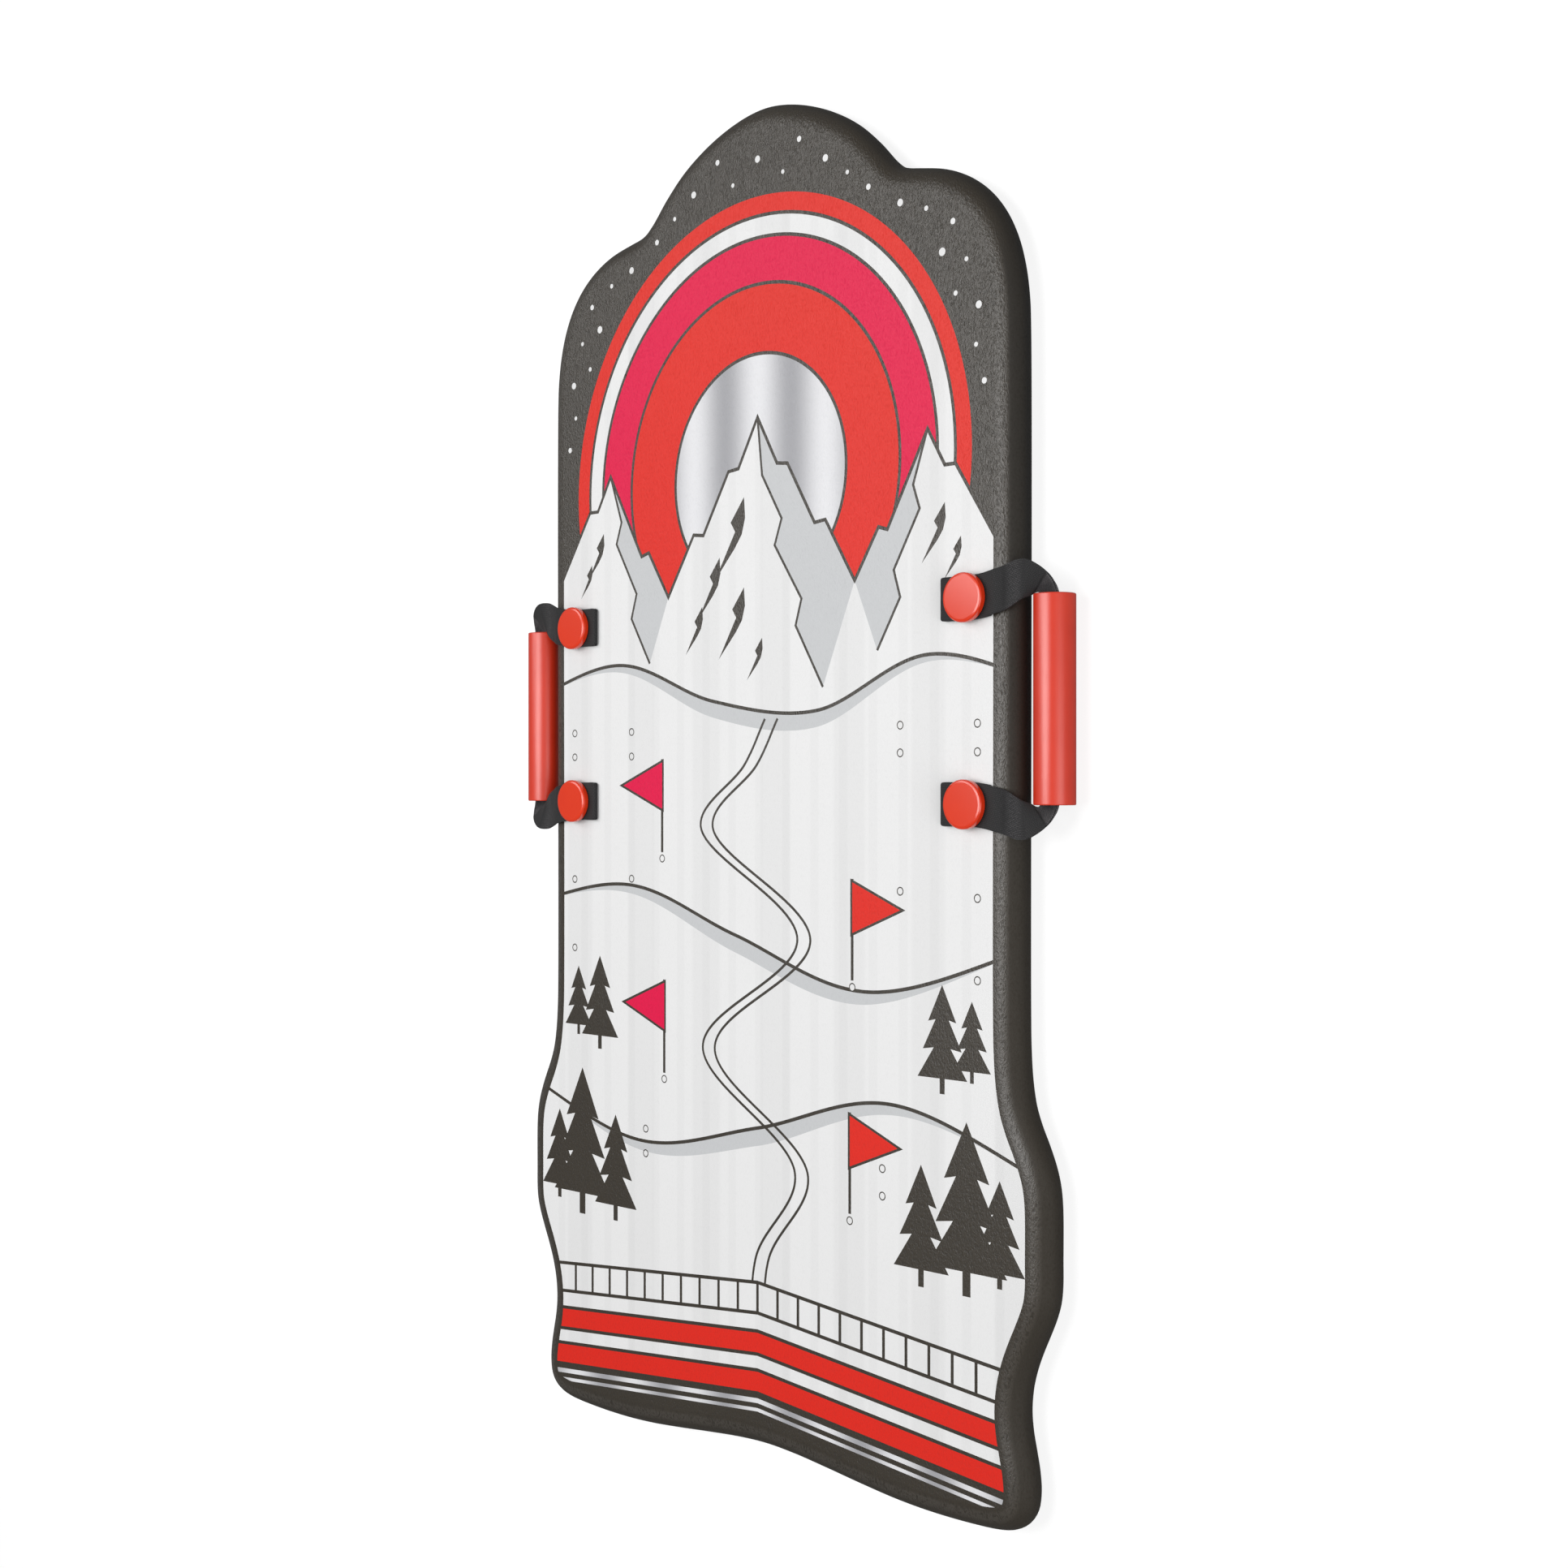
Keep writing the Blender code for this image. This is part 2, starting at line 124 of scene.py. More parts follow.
class Ink(Enum):
    """What covers a patch of the deck. FILM is the bare charcoal film."""

    FILM = 0
    WHITE = 1
    SHADE = 2
    SILVER = 3
    RED = 4
    MAGENTA = 5


class Value:
    """A socket's number, used in ordinary arithmetic."""

    def __init__(self, shader: "Shader", socket: bpy.types.NodeSocket) -> None:
        """Wrap a socket of a shader's tree."""
        self.shader = shader
        self.socket = socket

    def __add__(self, other: Number) -> "Value":
        """Sum."""
        return self.shader.maths("ADD", self, other)

    __radd__ = __add__

    def __sub__(self, other: Number) -> "Value":
        """Difference."""
        return self.shader.maths("SUBTRACT", self, other)

    def __rsub__(self, other: Number) -> "Value":
        """Difference from a number."""
        return self.shader.maths("SUBTRACT", other, self)

    def __mul__(self, other: Number) -> "Value":
        """Product."""
        return self.shader.maths("MULTIPLY", self, other)

    __rmul__ = __mul__

    def __truediv__(self, other: Number) -> "Value":
        """Quotient."""
        return self.shader.maths("DIVIDE", self, other)

    def __mod__(self, other: Number) -> "Value":
        """Remainder, never negative."""
        return self.shader.maths("FLOORED_MODULO", self, other)

    def __abs__(self) -> "Value":
        """Size without sign."""
        return self.shader.maths("ABSOLUTE", self)

    def whole(self) -> "Value":
        """The whole number below."""
        return self.shader.maths("FLOOR", self)

    def wave(self) -> "Value":
        """A sine that repeats each time the number grows by 1."""
        return self.shader.maths("SINE", self * math.tau)

    def swell(self) -> "Value":
        """The same wave, between 0 and 1."""
        return self.wave() * 0.5 + 0.5

    def eased(self, low: float, high: float) -> "Value":
        """0 below low, 1 above high, easing between them.

        Args:
            low: Where it starts to rise.
            high: Where it is complete.

        Returns:
            The eased number.
        """
        settings = {"interpolation_type": "SMOOTHSTEP"}
        inputs = {"Value": self, "From Min": low, "From Max": high}
        return self.shader.node("ShaderNodeMapRange", settings, inputs)


class Shader:
    """The node tree of a material or a world, with one method that makes any node."""

    def __init__(self, owner: bpy.types.Material | bpy.types.World) -> None:
        """Start from the shader that Blender gives the owner.

        Args:
            owner: The material or the world.
        """
        owner.use_nodes = True
        self.owner = owner
        self.tree = owner.node_tree

    @classmethod
    def of_material(cls, name: str) -> "Shader":
        """Start a new material."""
        return cls(bpy.data.materials.new(name))

    def feed(self, socket: bpy.types.NodeSocket, value: object) -> None:
        """Link a value to a socket, or set the socket's own.

        Args:
            socket: The input of a node.
            value: A link, or the socket's own value.
        """
        if isinstance(value, Value):
            self.tree.links.new(value.socket, socket)
        else:
            socket.default_value = value

    def node(
        self,
        kind: str,
        settings: dict[str, object] | None = None,
        inputs: dict[str | int, object] | None = None,
        output: str | int = 0,
    ) -> Value:
        """Add a node.

        Args:
            kind: The node's type.
            settings: Its properties, set first.
            inputs: Values or links of its sockets, by name or number.
            output: The output that is returned.

        Returns:
            The chosen output.
        """
        made = self.tree.nodes.new(kind)
        for name, value in (settings or {}).items():
            setattr(made, name, value)
        for key, value in (inputs or {}).items():
            self.feed(made.inputs[key], value)
        return Value(self, made.outputs[output])

    def maths(self, operation: str, first: Number, second: Number = 0.0) -> Value:
        """Add a Math node."""
        return self.node("ShaderNodeMath", {"operation": operation}, {0: first, 1: second})

    def place(self) -> Value:
        """The point on the piece, in metres."""
        return self.node("ShaderNodeTexCoord", output="Object")

    def parts(self, vector: Value) -> tuple[Value, Value, Value]:
        """A vector's X, Y and Z."""
        split = self.node("ShaderNodeSeparateXYZ", inputs={0: vector}).socket.node
        return tuple(Value(self, output) for output in split.outputs)

    def stretched(self, vector: Value, by: Spot) -> Value:
        """A vector with its parts multiplied."""
        return self.node("ShaderNodeVectorMath", {"operation": "MULTIPLY"}, {0: vector, 1: by})

    def noise(self, place: Value, size: float, detail: float = 2.0) -> Value:
        """Noise from 0 to 1 with blotches of a size."""
        inputs = {"Vector": place, "Scale": 1 / size, "Detail": detail}
        return self.node("ShaderNodeTexNoise", inputs=inputs)

    def wandered(self, place: Value, size: float, reach: float) -> Value:
        """A place shifted by noise of a size, by up to a reach.

        Args:
            place: The place.
            size: The size of the noise's blotches.
            reach: The most that it shifts along each axis.

        Returns:
            The shifted place.
        """
        inputs = {"Vector": place, "Scale": 1 / size, "Detail": 1.0}
        shift = self.node("ShaderNodeTexNoise", inputs=inputs, output="Color")
        by = (reach, reach, reach)
        settings = {"operation": "MULTIPLY_ADD"}
        return self.node("ShaderNodeVectorMath", settings, {0: shift, 1: by, 2: place})

    def cells(self, place: Value, size: float) -> Value:
        """Distance from the nearest border between random cells, in cells.

        Args:
            place: The place.
            size: The size of a cell.

        Returns:
            The distance.
        """
        settings = {"feature": "DISTANCE_TO_EDGE"}
        inputs = {"Vector": place, "Scale": 1 / size}
        return self.node("ShaderNodeTexVoronoi", settings, inputs, "Distance")

    def mix(self, share: Number, first: object, second: object, blend: str = "MIX") -> Value:
        """Mix two colours, each a Colour or a link.

        Args:
            share: How much of the second is used.
            first: The first colour.
            second: The second colour.
            blend: How they are blended.

        Returns:
            The mixed colour.
        """
        colours = [(*c, 1.0) if isinstance(c, tuple) else c for c in (first, second)]
        settings = {"data_type": "RGBA", "blend_type": blend}
        inputs = {MIX_SHARE: share, MIX_FIRST: colours[0], MIX_SECOND: colours[1]}
        return self.node("ShaderNodeMix", settings, inputs, MIX_RESULT)

    def bump(self, height: Value, depth: float) -> Value:
        """A normal from a height of 0 to 1 over a depth in metres."""
        inputs = {"Height": height, "Distance": depth, "Strength": 1.0}
        return self.node("ShaderNodeBump", inputs=inputs)

    def dressed(self, **sockets: object) -> bpy.types.Material:
        """Feed the Principled shader's sockets, named with underscores, and return the material.

        Args:
            sockets: Values or links, by the socket's name.

        Returns:
            The material.
        """
        for name, value in sockets.items():
            if isinstance(value, tuple):
                value = (*value, 1.0)
            self.feed(self.tree.nodes["Principled BSDF"].inputs[name.replace("_", " ")], value)
        return self.owner


@dataclass(frozen=True)
class Wrap:
    """How the film changes between the level deck and the rail.

    The film's lean is 0 on the deck, 1 at the rail's widest part and 2 below. A span says where
    a change starts and where it is complete. Spans are in lean, apart from the nose's, which is in
    how far the film faces forward, the front's, in metres along the board, and the painted
    highlight height's, in the height of the grain. The film has a painted highlight on the rail's
    shoulder and painted shade where it is drawn round the rail and turned under it.
    """

    nose_facing: Span = (0.05, 0.38)
    front_along: Span = (-0.15, 0.15)
    rear_share: float = 0.5
    shoulder_start: Span = (0.0, 0.02)
    shoulder_end: Span = (0.05, 0.19)
    drawn_aside: Span = (0.07, 0.20)
    drawn_at_nose: Span = (0.0, 0.5)
    turned_under: Span = (0.5, 1.2)
    # Painted highlight on the rail's shoulder: which part of the grain it takes, and how strong it
    # is
    worn_height: Span = (0.2, 0.8)
    wear: float = 0.25
    # How dark the painted shade goes where the film is drawn round the rail, and under the rail
    drawn_dark: float = 0.6
    under_dark: float = 0.28
    groove_lost: float = 0.75
    drawn_dull: float = 0.3
    relief_lost: float = 0.9


@dataclass(frozen=True)
class FilmFinish:
    """Foam film embossed with a fine wrinkled grain, bare or under one ink.

    It is drawn smooth where it wraps round the rail. It has a painted highlight on the rail's
    shoulder, painted shade on the rail's flank and underside, and painted shade in the grain's
    grooves. The sizes of the grain's wander and of its ridges are in grains.
    """

    name: str
    colour: Colour
    # How dark the painted shade in the grain's grooves makes the colour
    groove: float = 0.50
    roughness: float = 0.36
    grain: float = 1.2 * MM
    depth: float = 0.26 * MM
    # Colour of the painted highlight on the rail's shoulder
    rubbed: Colour = (0.13, 0.12, 0.11)
    shine: float = 0.7
    pull: Spot = (1.0, 0.5, 1.0)
    wander_size: float = 2.2
    wander_reach: float = 1.2
    ridge_size: float = 1.5
    pebble_edge: Span = (0.0, 0.5)
    pebble_share: float = 0.35
    relief: Span = (-0.1, 1.0)
    groove_dark: float = 0.9
    groove_dull: float = 0.14
    drift_size: float = 60 * MM
    drift_span: Span = (0.3, 0.7)
    drift_dark: float = 0.1
    wrap: Wrap = Wrap()

    def emboss(self, s: Shader) -> Value:
        """Height of the grain: 0 in its grooves, 1 on its ridges.

        Args:
            s: The shader of the material in the making.

        Returns:
            The height.
        """
        place = s.stretched(s.place(), self.pull)
        place = s.wandered(place, self.wander_size * self.grain, self.wander_reach * self.grain)
        pebbles = s.cells(place, self.grain).eased(*self.pebble_edge)
        ridges = 1 - abs(s.noise(place, self.ridge_size * self.grain) * 2 - 1) * 2
        mixed = pebbles * self.pebble_share + ridges * (1 - self.pebble_share)
        return mixed.eased(*self.relief)

    def tone(self, s: Shader) -> object:
        """The colour on top of the grain."""
        return self.colour

    def material(self) -> bpy.types.Material:
        """Make the material: grain with painted shade in its grooves, a painted highlight on the
        rail's shoulder, and painted shade on the smooth flank of the rail.

        The grain is crisper and the painted shade on the flank darker on the front half.

        Returns:
            The material.
        """
        s = Shader.of_material(self.name)
        wrap = self.wrap
        height = self.emboss(s)
        _, forward, up = s.parts(s.node("ShaderNodeNewGeometry", output="Normal"))
        lean = 1 - up
        nose = forward.eased(*wrap.nose_facing)
        along = s.parts(s.place())[1]
        front = along.eased(*wrap.front_along) * (1 - wrap.rear_share) + wrap.rear_share
        shoulder = lean.eased(*wrap.shoulder_start) * (1 - lean.eased(*wrap.shoulder_end))
        drawn_aside = lean.eased(*wrap.drawn_aside) * (1 - nose)
        drawn = drawn_aside + lean.eased(*wrap.drawn_at_nose) * nose
        # Painted highlight: a paler colour on the grain's ridges along the rail's shoulder, kept
        # off the nose
        painted_highlight_share = shoulder * height.eased(*wrap.worn_height) * wrap.wear * (1 - nose)
        rubbed = s.mix(painted_highlight_share, self.tone(s), self.rubbed)
        drift = s.noise(s.place(), self.drift_size).eased(*self.drift_span) * self.drift_dark
        # Painted shade in the grain's grooves, less where the film is drawn smooth, plus a slow
        # random change of tone
        shade = (1 - height) * (self.groove_dark - wrap.groove_lost * drawn) + drift
        # Painted shade: the colour goes towards black where the film is drawn round the rail and
        # turned under it, more on the front half
        flank = (drawn * wrap.drawn_dark + lean.eased(*wrap.turned_under) * wrap.under_dark) * front
        grained = s.mix(shade, rubbed, (self.groove,) * 3, "MULTIPLY")
        relief = height * (1 - wrap.relief_lost * drawn) * front
        return s.dressed(
            Base_Color=s.mix(flank, grained, BLACK),
            Roughness=self.roughness + self.groove_dull * (1 - height) + wrap.drawn_dull * drawn,
            Specular_IOR_Level=self.shine,
            Normal=s.bump(relief, self.depth),
        )


@dataclass(frozen=True)
class BandedInk(FilmFinish):
    """White ink with faint, soft-edged grey bands along the board, broad ones and narrow ones."""

    band: Colour = (0.72, 0.72, 0.72)
    spacing: float = 62 * MM
    broad_edge: Span = (0.55, 0.75)
    broad_share: float = 0.55
    narrow_edge: Span = (0.72, 0.9)
    narrow_share: float = 0.35
    narrow_count: float = 2.6
    narrow_shift: float = 0.2

    def tone(self, s: Shader) -> object:
        """White, greyer in broad and narrow bands.

        Args:
            s: The shader of the material in the making.

        Returns:
            The colour.
        """
        across = s.parts(s.place())[0] / self.spacing
        broad = across.swell().eased(*self.broad_edge)
        narrow = (across * self.narrow_count + self.narrow_shift).swell().eased(*self.narrow_edge)
        return s.mix(broad * self.broad_share + narrow * self.narrow_share, self.colour, self.band)


@dataclass(frozen=True)
class GradedInk(FilmFinish):
    """Silver ink that runs from light to dark and back across the board."""

    dark: Colour = (0.36, 0.36, 0.38)
    spacing: float = 58 * MM
    shift: float = 0.25

    def tone(self, s: Shader) -> object:
        """Light and dark silver in a soft wave."""
        across = s.parts(s.place())[0] / self.spacing
        return s.mix((across + self.shift).swell(), self.dark, self.colour)


@dataclass(frozen=True)
class PlasticFinish:
    """Moulded plastic with a satin surface. Streaked plastic has its scuffs drawn out along Y."""

    name: str
    colour: Colour
    deep: Colour
    roughness: float
    shine: float
    streak: float = 0.0
    drift_size: float = 18 * MM
    drift_detail: float = 3.0
    drift_span: Span = (0.3, 0.75)
    scuff_size: float = 1.1 * MM
    scuff_detail: float = 4.0
    scuff_span: Span = (0.56, 0.74)
    skin_size: float = 0.7 * MM
    skin_share: float = 0.6
    dulling: float = 0.05
    depth: float = 0.006 * MM

    def material(self) -> bpy.types.Material:
        """Make the material: a slow change of tone, a faint moulded texture and light scuffs.

        Returns:
            The material.
        """
        s = Shader.of_material(self.name)
        place = s.place()
        drift = s.noise(place, self.drift_size, self.drift_detail)
        drawn_out = s.stretched(place, (1.0, 1.0 - self.streak, 1.0))
        scuff = s.noise(drawn_out, self.scuff_size, self.scuff_detail).eased(*self.scuff_span)
        skin = s.noise(place, self.skin_size)
        relief = skin * self.skin_share + scuff * (1 - self.skin_share)
        return s.dressed(
            Base_Color=s.mix(drift.eased(*self.drift_span), self.colour, self.deep),
            Roughness=self.roughness + self.dulling * scuff + self.dulling * drift,
            Specular_IOR_Level=self.shine,
            Normal=s.bump(relief, self.depth),
        )


@dataclass(frozen=True)
class WebbingFinish:
    """Tightly woven strap: short ribs in columns, staggered from one column to the next.

    The weave's relief and a painted glint on its ribs show where the strap curls, and are fainter
    where it lies flat.
    """

    name: str
    colour: Colour
    # Colour of the painted glint on the ribs' tops
    glint: Colour
    pick: float = 0.9 * MM
    column: float = 1.05 * MM
    depth: float = 0.18 * MM
    stagger: float = 0.25
    jitter: float = 0.9
    jitter_size: float = 2.4 * MM
    column_edge: Span = (0.0, 0.8)
    fuzz_size: float = 0.35 * MM
    fuzz_detail: float = 3.0
    fuzz_share: float = 0.2
    fuzz_dull: float = 0.25
    curl_span: Span = (0.04, 0.5)
    glint_span: Span = (0.45, 0.95)
    flat_glint: float = 0.1
    flat_relief: float = 0.25
    roughness: float = 0.62
    shine: float = 0.3
    sheen: float = 0.08
    sheen_roughness: float = 0.4

    def material(self) -> bpy.types.Material:
        """Make the material from the place along and across the strap, and its curl.

        Returns:
            The material.
        """
        s = Shader.of_material(self.name)
        attribute = s.node(
            "ShaderNodeAttribute", {"attribute_name": STRAP_PLACE}, output="Vector"
        )
        along, across, curl = s.parts(attribute)
        columns = across / self.column
        stagger = (columns.whole() % 2) * self.stagger
        jitter = s.noise(attribute, self.jitter_size) * self.jitter
        rib = abs((along / self.pick * 0.5 + stagger + jitter).wave())
        bulge = abs((columns * 0.5).wave()).eased(*self.column_edge)
        fuzz = s.noise(attribute, self.fuzz_size, self.fuzz_detail)
        height = rib * bulge * (1 - self.fuzz_share) + fuzz * self.fuzz_share
        shown = curl.eased(*self.curl_span) * (1 - self.flat_glint) + self.flat_glint
        # Painted glint: a paler colour on the ribs' tops, stronger where the strap curls
        glint = height.eased(*self.glint_span) * shown
        relief = height * (shown * (1 - self.flat_relief) + self.flat_relief)
        return s.dressed(
            Base_Color=s.mix(glint, self.colour, self.glint),
            Roughness=self.roughness + self.fuzz_dull * fuzz,
            Specular_IOR_Level=self.shine,
            Sheen_Weight=self.sheen,
            Sheen_Roughness=self.sheen_roughness,
            Normal=s.bump(relief, self.depth),
        )


@dataclass(frozen=True)
class FoamFinish:
    """Closed-cell foam, cut so that its cells show."""

    name: str
    colour: Colour
    shadow: Colour
    cell: float = 1.6 * MM
    cell_edge: Span = (0.0, 0.3)
    roughness: float = 0.8
    cell_dull: float = 0.1
    depth: float = 0.2 * MM

    def material(self) -> bpy.types.Material:
        """Make the material from rounded random cells.

        Returns:
            The material.
        """
        s = Shader.of_material(self.name)
        bulge = s.cells(s.place(), self.cell).eased(*self.cell_edge)
        return s.dressed(
            Base_Color=s.mix(bulge, self.shadow, self.colour),
            Roughness=self.roughness + self.cell_dull * bulge,
            Normal=s.bump(bulge, self.depth),
        )


INKS: dict[Ink, FilmFinish] = {
    Ink.FILM: FilmFinish("charcoal_film", (0.035, 0.027, 0.017)),
    Ink.WHITE: BandedInk(
        "white_ink", (0.79, 0.79, 0.79), groove=0.96, depth=0.05 * MM, shine=0.2
    ),
    Ink.SHADE: FilmFinish(
        "grey_ink", (0.56, 0.57, 0.58), groove=0.94, depth=0.07 * MM, shine=0.2
    ),
    Ink.SILVER: GradedInk(
        "silver_ink", (0.76, 0.76, 0.78), groove=0.94, depth=0.07 * MM, shine=0.3
    ),
    Ink.RED: FilmFinish(
        "red_ink",
        (0.735, 0.019, 0.009),
        groove=0.86,
        roughness=0.42,
        depth=0.10 * MM,
        shine=0.34,
    ),
    Ink.MAGENTA: FilmFinish(
        "magenta_ink",
        (0.745, 0.003, 0.064),
        groove=0.86,
        roughness=0.42,
        depth=0.10 * MM,
        shine=0.3,
    ),
}
TUBE_PLASTIC = PlasticFinish(
    "red_tube", (0.67, 0.032, 0.008), (0.64, 0.028, 0.006), roughness=0.33, shine=1.0, streak=0.9
)
BUTTON_PLASTIC = PlasticFinish(
    "red_button", (0.72, 0.035, 0.005), (0.70, 0.032, 0.004), roughness=0.18, shine=0.85
)
SLICK_PLASTIC = PlasticFinish(
    "slick_sheet",
    (0.050, 0.050, 0.054),
    (0.038, 0.038, 0.042),
    roughness=0.38,
    shine=0.45,
    streak=0.94,
)
WEBBING = WebbingFinish("black_webbing", (0.015, 0.015, 0.0155), (0.24, 0.23, 0.24))
CORE_FOAM = FoamFinish("core_foam", (0.80, 0.80, 0.78), (0.62, 0.62, 0.60))


class Draft:
    """A mesh in the making."""

    def __init__(self) -> None:
        """Start an empty mesh."""
        self.bm = bmesh.new()
        self.strap_place = self.bm.verts.layers.float_vector.new(STRAP_PLACE)

    def point(self, place: Iterable[float], strap_place: Iterable[float] | None = None) -> Vert:
        """Add a vertex, with its place on a strap if it has one.

        Args:
            place: Where it is.
            strap_place: How far along and across the strap it is, and the strap's
                curl there.

        Returns:
            The vertex.
        """
        made = self.bm.verts.new(place)
        if strap_place:
            made[self.strap_place] = strap_place
        return made

    def face(self, corners: Sequence[Vert], slot: int = 0) -> None:
        """Add a face between vertices."""
        made = self.bm.faces.new(corners)
        made.material_index = slot

    def grid(self, rings: Sequence[Sequence[Vert]]) -> None:
        """Add quads between rings of vertices.

        Args:
            rings: The rings, each of as many vertices.
        """
        for here, there in zip(rings[:-1], rings[1:]):
            for i in range(len(here)):
                j = (i + 1) % len(here)
                self.face((here[i], here[j], there[j], there[i]))

    def plan(self, points: list[Vector], triangles: Iterable, height: float) -> None:
        """Add triangles of a plan at a height, each given with its slot.

        Args:
            points: The plan's points.
            triangles: Each triangle's corners, by number, and its slot.
            height: The height.
        """
        verts = [self.point((p.x, p.y, height)) for p in points]
        for corners, slot in triangles:
            self.face([verts[i] for i in corners], slot)

    def finish(
        self, name: str, materials: Sequence[bpy.types.Material], sharp: float = SOFT_ANGLE
    ) -> bpy.types.Object:
        """Join what meets, turn the faces out and make the object.

        Args:
            name: The piece's name.
            materials: Its material slots.
            sharp: The least angle between faces that stays a sharp edge, in degrees.

        Returns:
            The object, in the scene.
        """
        bmesh.ops.remove_doubles(self.bm, verts=self.bm.verts, dist=MESH_WELD)
        loose = [v for v in self.bm.verts if not v.link_faces]
        bmesh.ops.delete(self.bm, geom=loose, context="VERTS")
        bmesh.ops.recalc_face_normals(self.bm, faces=self.bm.faces)
        mesh = bpy.data.meshes.new(name)
        self.bm.to_mesh(mesh)
        self.bm.free()
        for material in materials:
            mesh.materials.append(material)
        mesh.shade_smooth()
        mesh.set_sharp_from_angle(angle=math.radians(sharp))
        made = bpy.data.objects.new(name, mesh)
        bpy.context.scene.collection.objects.link(made)
        return made


def eased(value: float, low: float, high: float) -> float:
    """0 below low, 1 above high, easing between them."""
    part = min(1.0, max(0.0, (value - low) / (high - low)))
    return part * part * (3 - 2 * part)


def circle(centre: Vector, radius: float, sides: int) -> list[Vector]:
    """Points on a circle in the plan."""
    turns = [math.tau * i / sides for i in range(sides)]
    return [centre + radius * Vector((math.cos(a), math.sin(a))) for a in turns]


def centripetal(p0: Vector, p1: Vector, p2: Vector, p3: Vector, share: float) -> Vector:
    """A point between p1 and p2 on a centripetal Catmull-Rom curve.

    Args:
        p0: The curve's point before p1.
        p1: Where the stretch starts.
        p2: Where it ends.
        p3: The curve's point after p2.
        share: How far along the stretch, from 0 to 1.

    Returns:
        The point.
    """
    t0 = 0.0
    t1 = t0 + math.sqrt((p1 - p0).length)
    t2 = t1 + math.sqrt((p2 - p1).length)
    t3 = t2 + math.sqrt((p3 - p2).length)
    t = t1 + (t2 - t1) * share
    a1 = p0 * ((t1 - t) / (t1 - t0)) + p1 * ((t - t0) / (t1 - t0))
    a2 = p1 * ((t2 - t) / (t2 - t1)) + p2 * ((t - t1) / (t2 - t1))
    a3 = p2 * ((t3 - t) / (t3 - t2)) + p3 * ((t - t2) / (t3 - t2))
    b1 = a1 * ((t2 - t) / (t2 - t0)) + a2 * ((t - t0) / (t2 - t0))
    b2 = a2 * ((t3 - t) / (t3 - t1)) + a3 * ((t - t1) / (t3 - t1))
    return b1 * ((t2 - t) / (t2 - t1)) + b2 * ((t - t1) / (t2 - t1))


def curved(points: Sequence[Vector], spacing: float, closed: bool = False) -> list[Vector]:
    """Points on a smooth curve through the given ones.

    Args:
        points: The points that the curve passes.
        spacing: The greatest distance between the points returned.
        closed: Whether the curve returns to its start.

    Returns:
        The curve's points, without the start repeated if closed.
    """
    points = list(points)
    if closed:
        padded = [points[-1], *points, points[0], points[1]]
    else:
        padded = [2 * points[0] - points[1], *points, 2 * points[-1] - points[-2]]
    made = []
    for k in range(1, len(padded) - 2):
        p0, p1, p2, p3 = padded[k - 1 : k + 3]
        steps = max(1, math.ceil((p2 - p1).length / spacing))
        made += [centripetal(p0, p1, p2, p3, i / steps) for i in range(steps)]
    if not closed:
        made.append(points[-1])
    return made


def band(path: Sequence[Vector], width: float) -> list[Vector]:
    """The outline of a line of a width along a path, mitred at its corners.

    Args:
        path: The line's middle.
        width: The line's width.

    Returns:
        The outline, along one side and back along the other.
    """
    left = []
    right = []
    for i, here in enumerate(path):
        before = (here - path[i - 1]).normalized() if i else None
        after = (path[i + 1] - here).normalized() if i + 1 < len(path) else None
        before = before or after
        after = after or before
        n0 = Vector((-before.y, before.x))
        n1 = Vector((-after.y, after.x))
        offset = (n0 + n1) * (width / 2 / (1 + n0.dot(n1)))
        left.append(here + offset)
        right.append(here - offset)
    return left + right[::-1]


def counter_clockwise(loop: Sequence[Vector]) -> list[Vector]:
    """The loop, turned to run counter-clockwise."""
    area = sum(a.x * b.y - b.x * a.y for a, b in zip(loop, [*loop[1:], loop[0]]))
    return list(loop) if area > 0 else list(loop)[::-1]


def grown(loop: Sequence[Vector], distance: float) -> list[Vector]:
    """A counter-clockwise loop moved out by a distance, mitred at its corners.

    Args:
        loop: The loop's points.
        distance: How far they move.

    Returns:
        The moved points, one for each.
    """
    made = []
    for i, here in enumerate(loop):
        before = (here - loop[i - 1]).normalized()
        after = (loop[(i + 1) % len(loop)] - here).normalized()
        n0 = Vector((before.y, -before.x))
        n1 = Vector((after.y, -after.x))
        made.append(here + (n0 + n1) * (distance / (1 + n0.dot(n1))))
    return made


def plan_triangles(loops: Sequence[Sequence[Vector]]) -> tuple[list[Vector], list, list]:
    """Split the plan along closed loops.

    Args:
        loops: The loops, which may cross.

    Returns:
        The points, the triangles inside any loop, and for each the numbers of the loops
        that hold it.
    """
    points = []
    faces = []
    for loop in loops:
        faces.append(range(len(points), len(points) + len(loop)))
        points += [p / MM for p in counter_clockwise(loop)]
    loops = [list(face) for face in faces]
    split = geometry.delaunay_2d_cdt(points, [], loops, INSIDE_LOOPS, PLAN_WELD)
    return [p * MM for p in split[0]], split[2], split[5]


def rim_of(points: Sequence[Vector], triangles: Iterable) -> list[Vector]:
    """The outer border of triangles that fill one region without holes.

    Args:
        points: The plan's points.
        triangles: Each triangle's corners, by number.

    Returns:
        The border's points, in order.
    """
    ways = set()
    for a, b, c in triangles:
        ways |= {(a, b), (b, c), (c, a)}
    ahead = {a: b for a, b in ways if (b, a) not in ways}
    start = here = next(iter(ahead))
    rim = []
    while not rim or here != start:
        rim.append(points[here])
        here = ahead[here]
    return rim


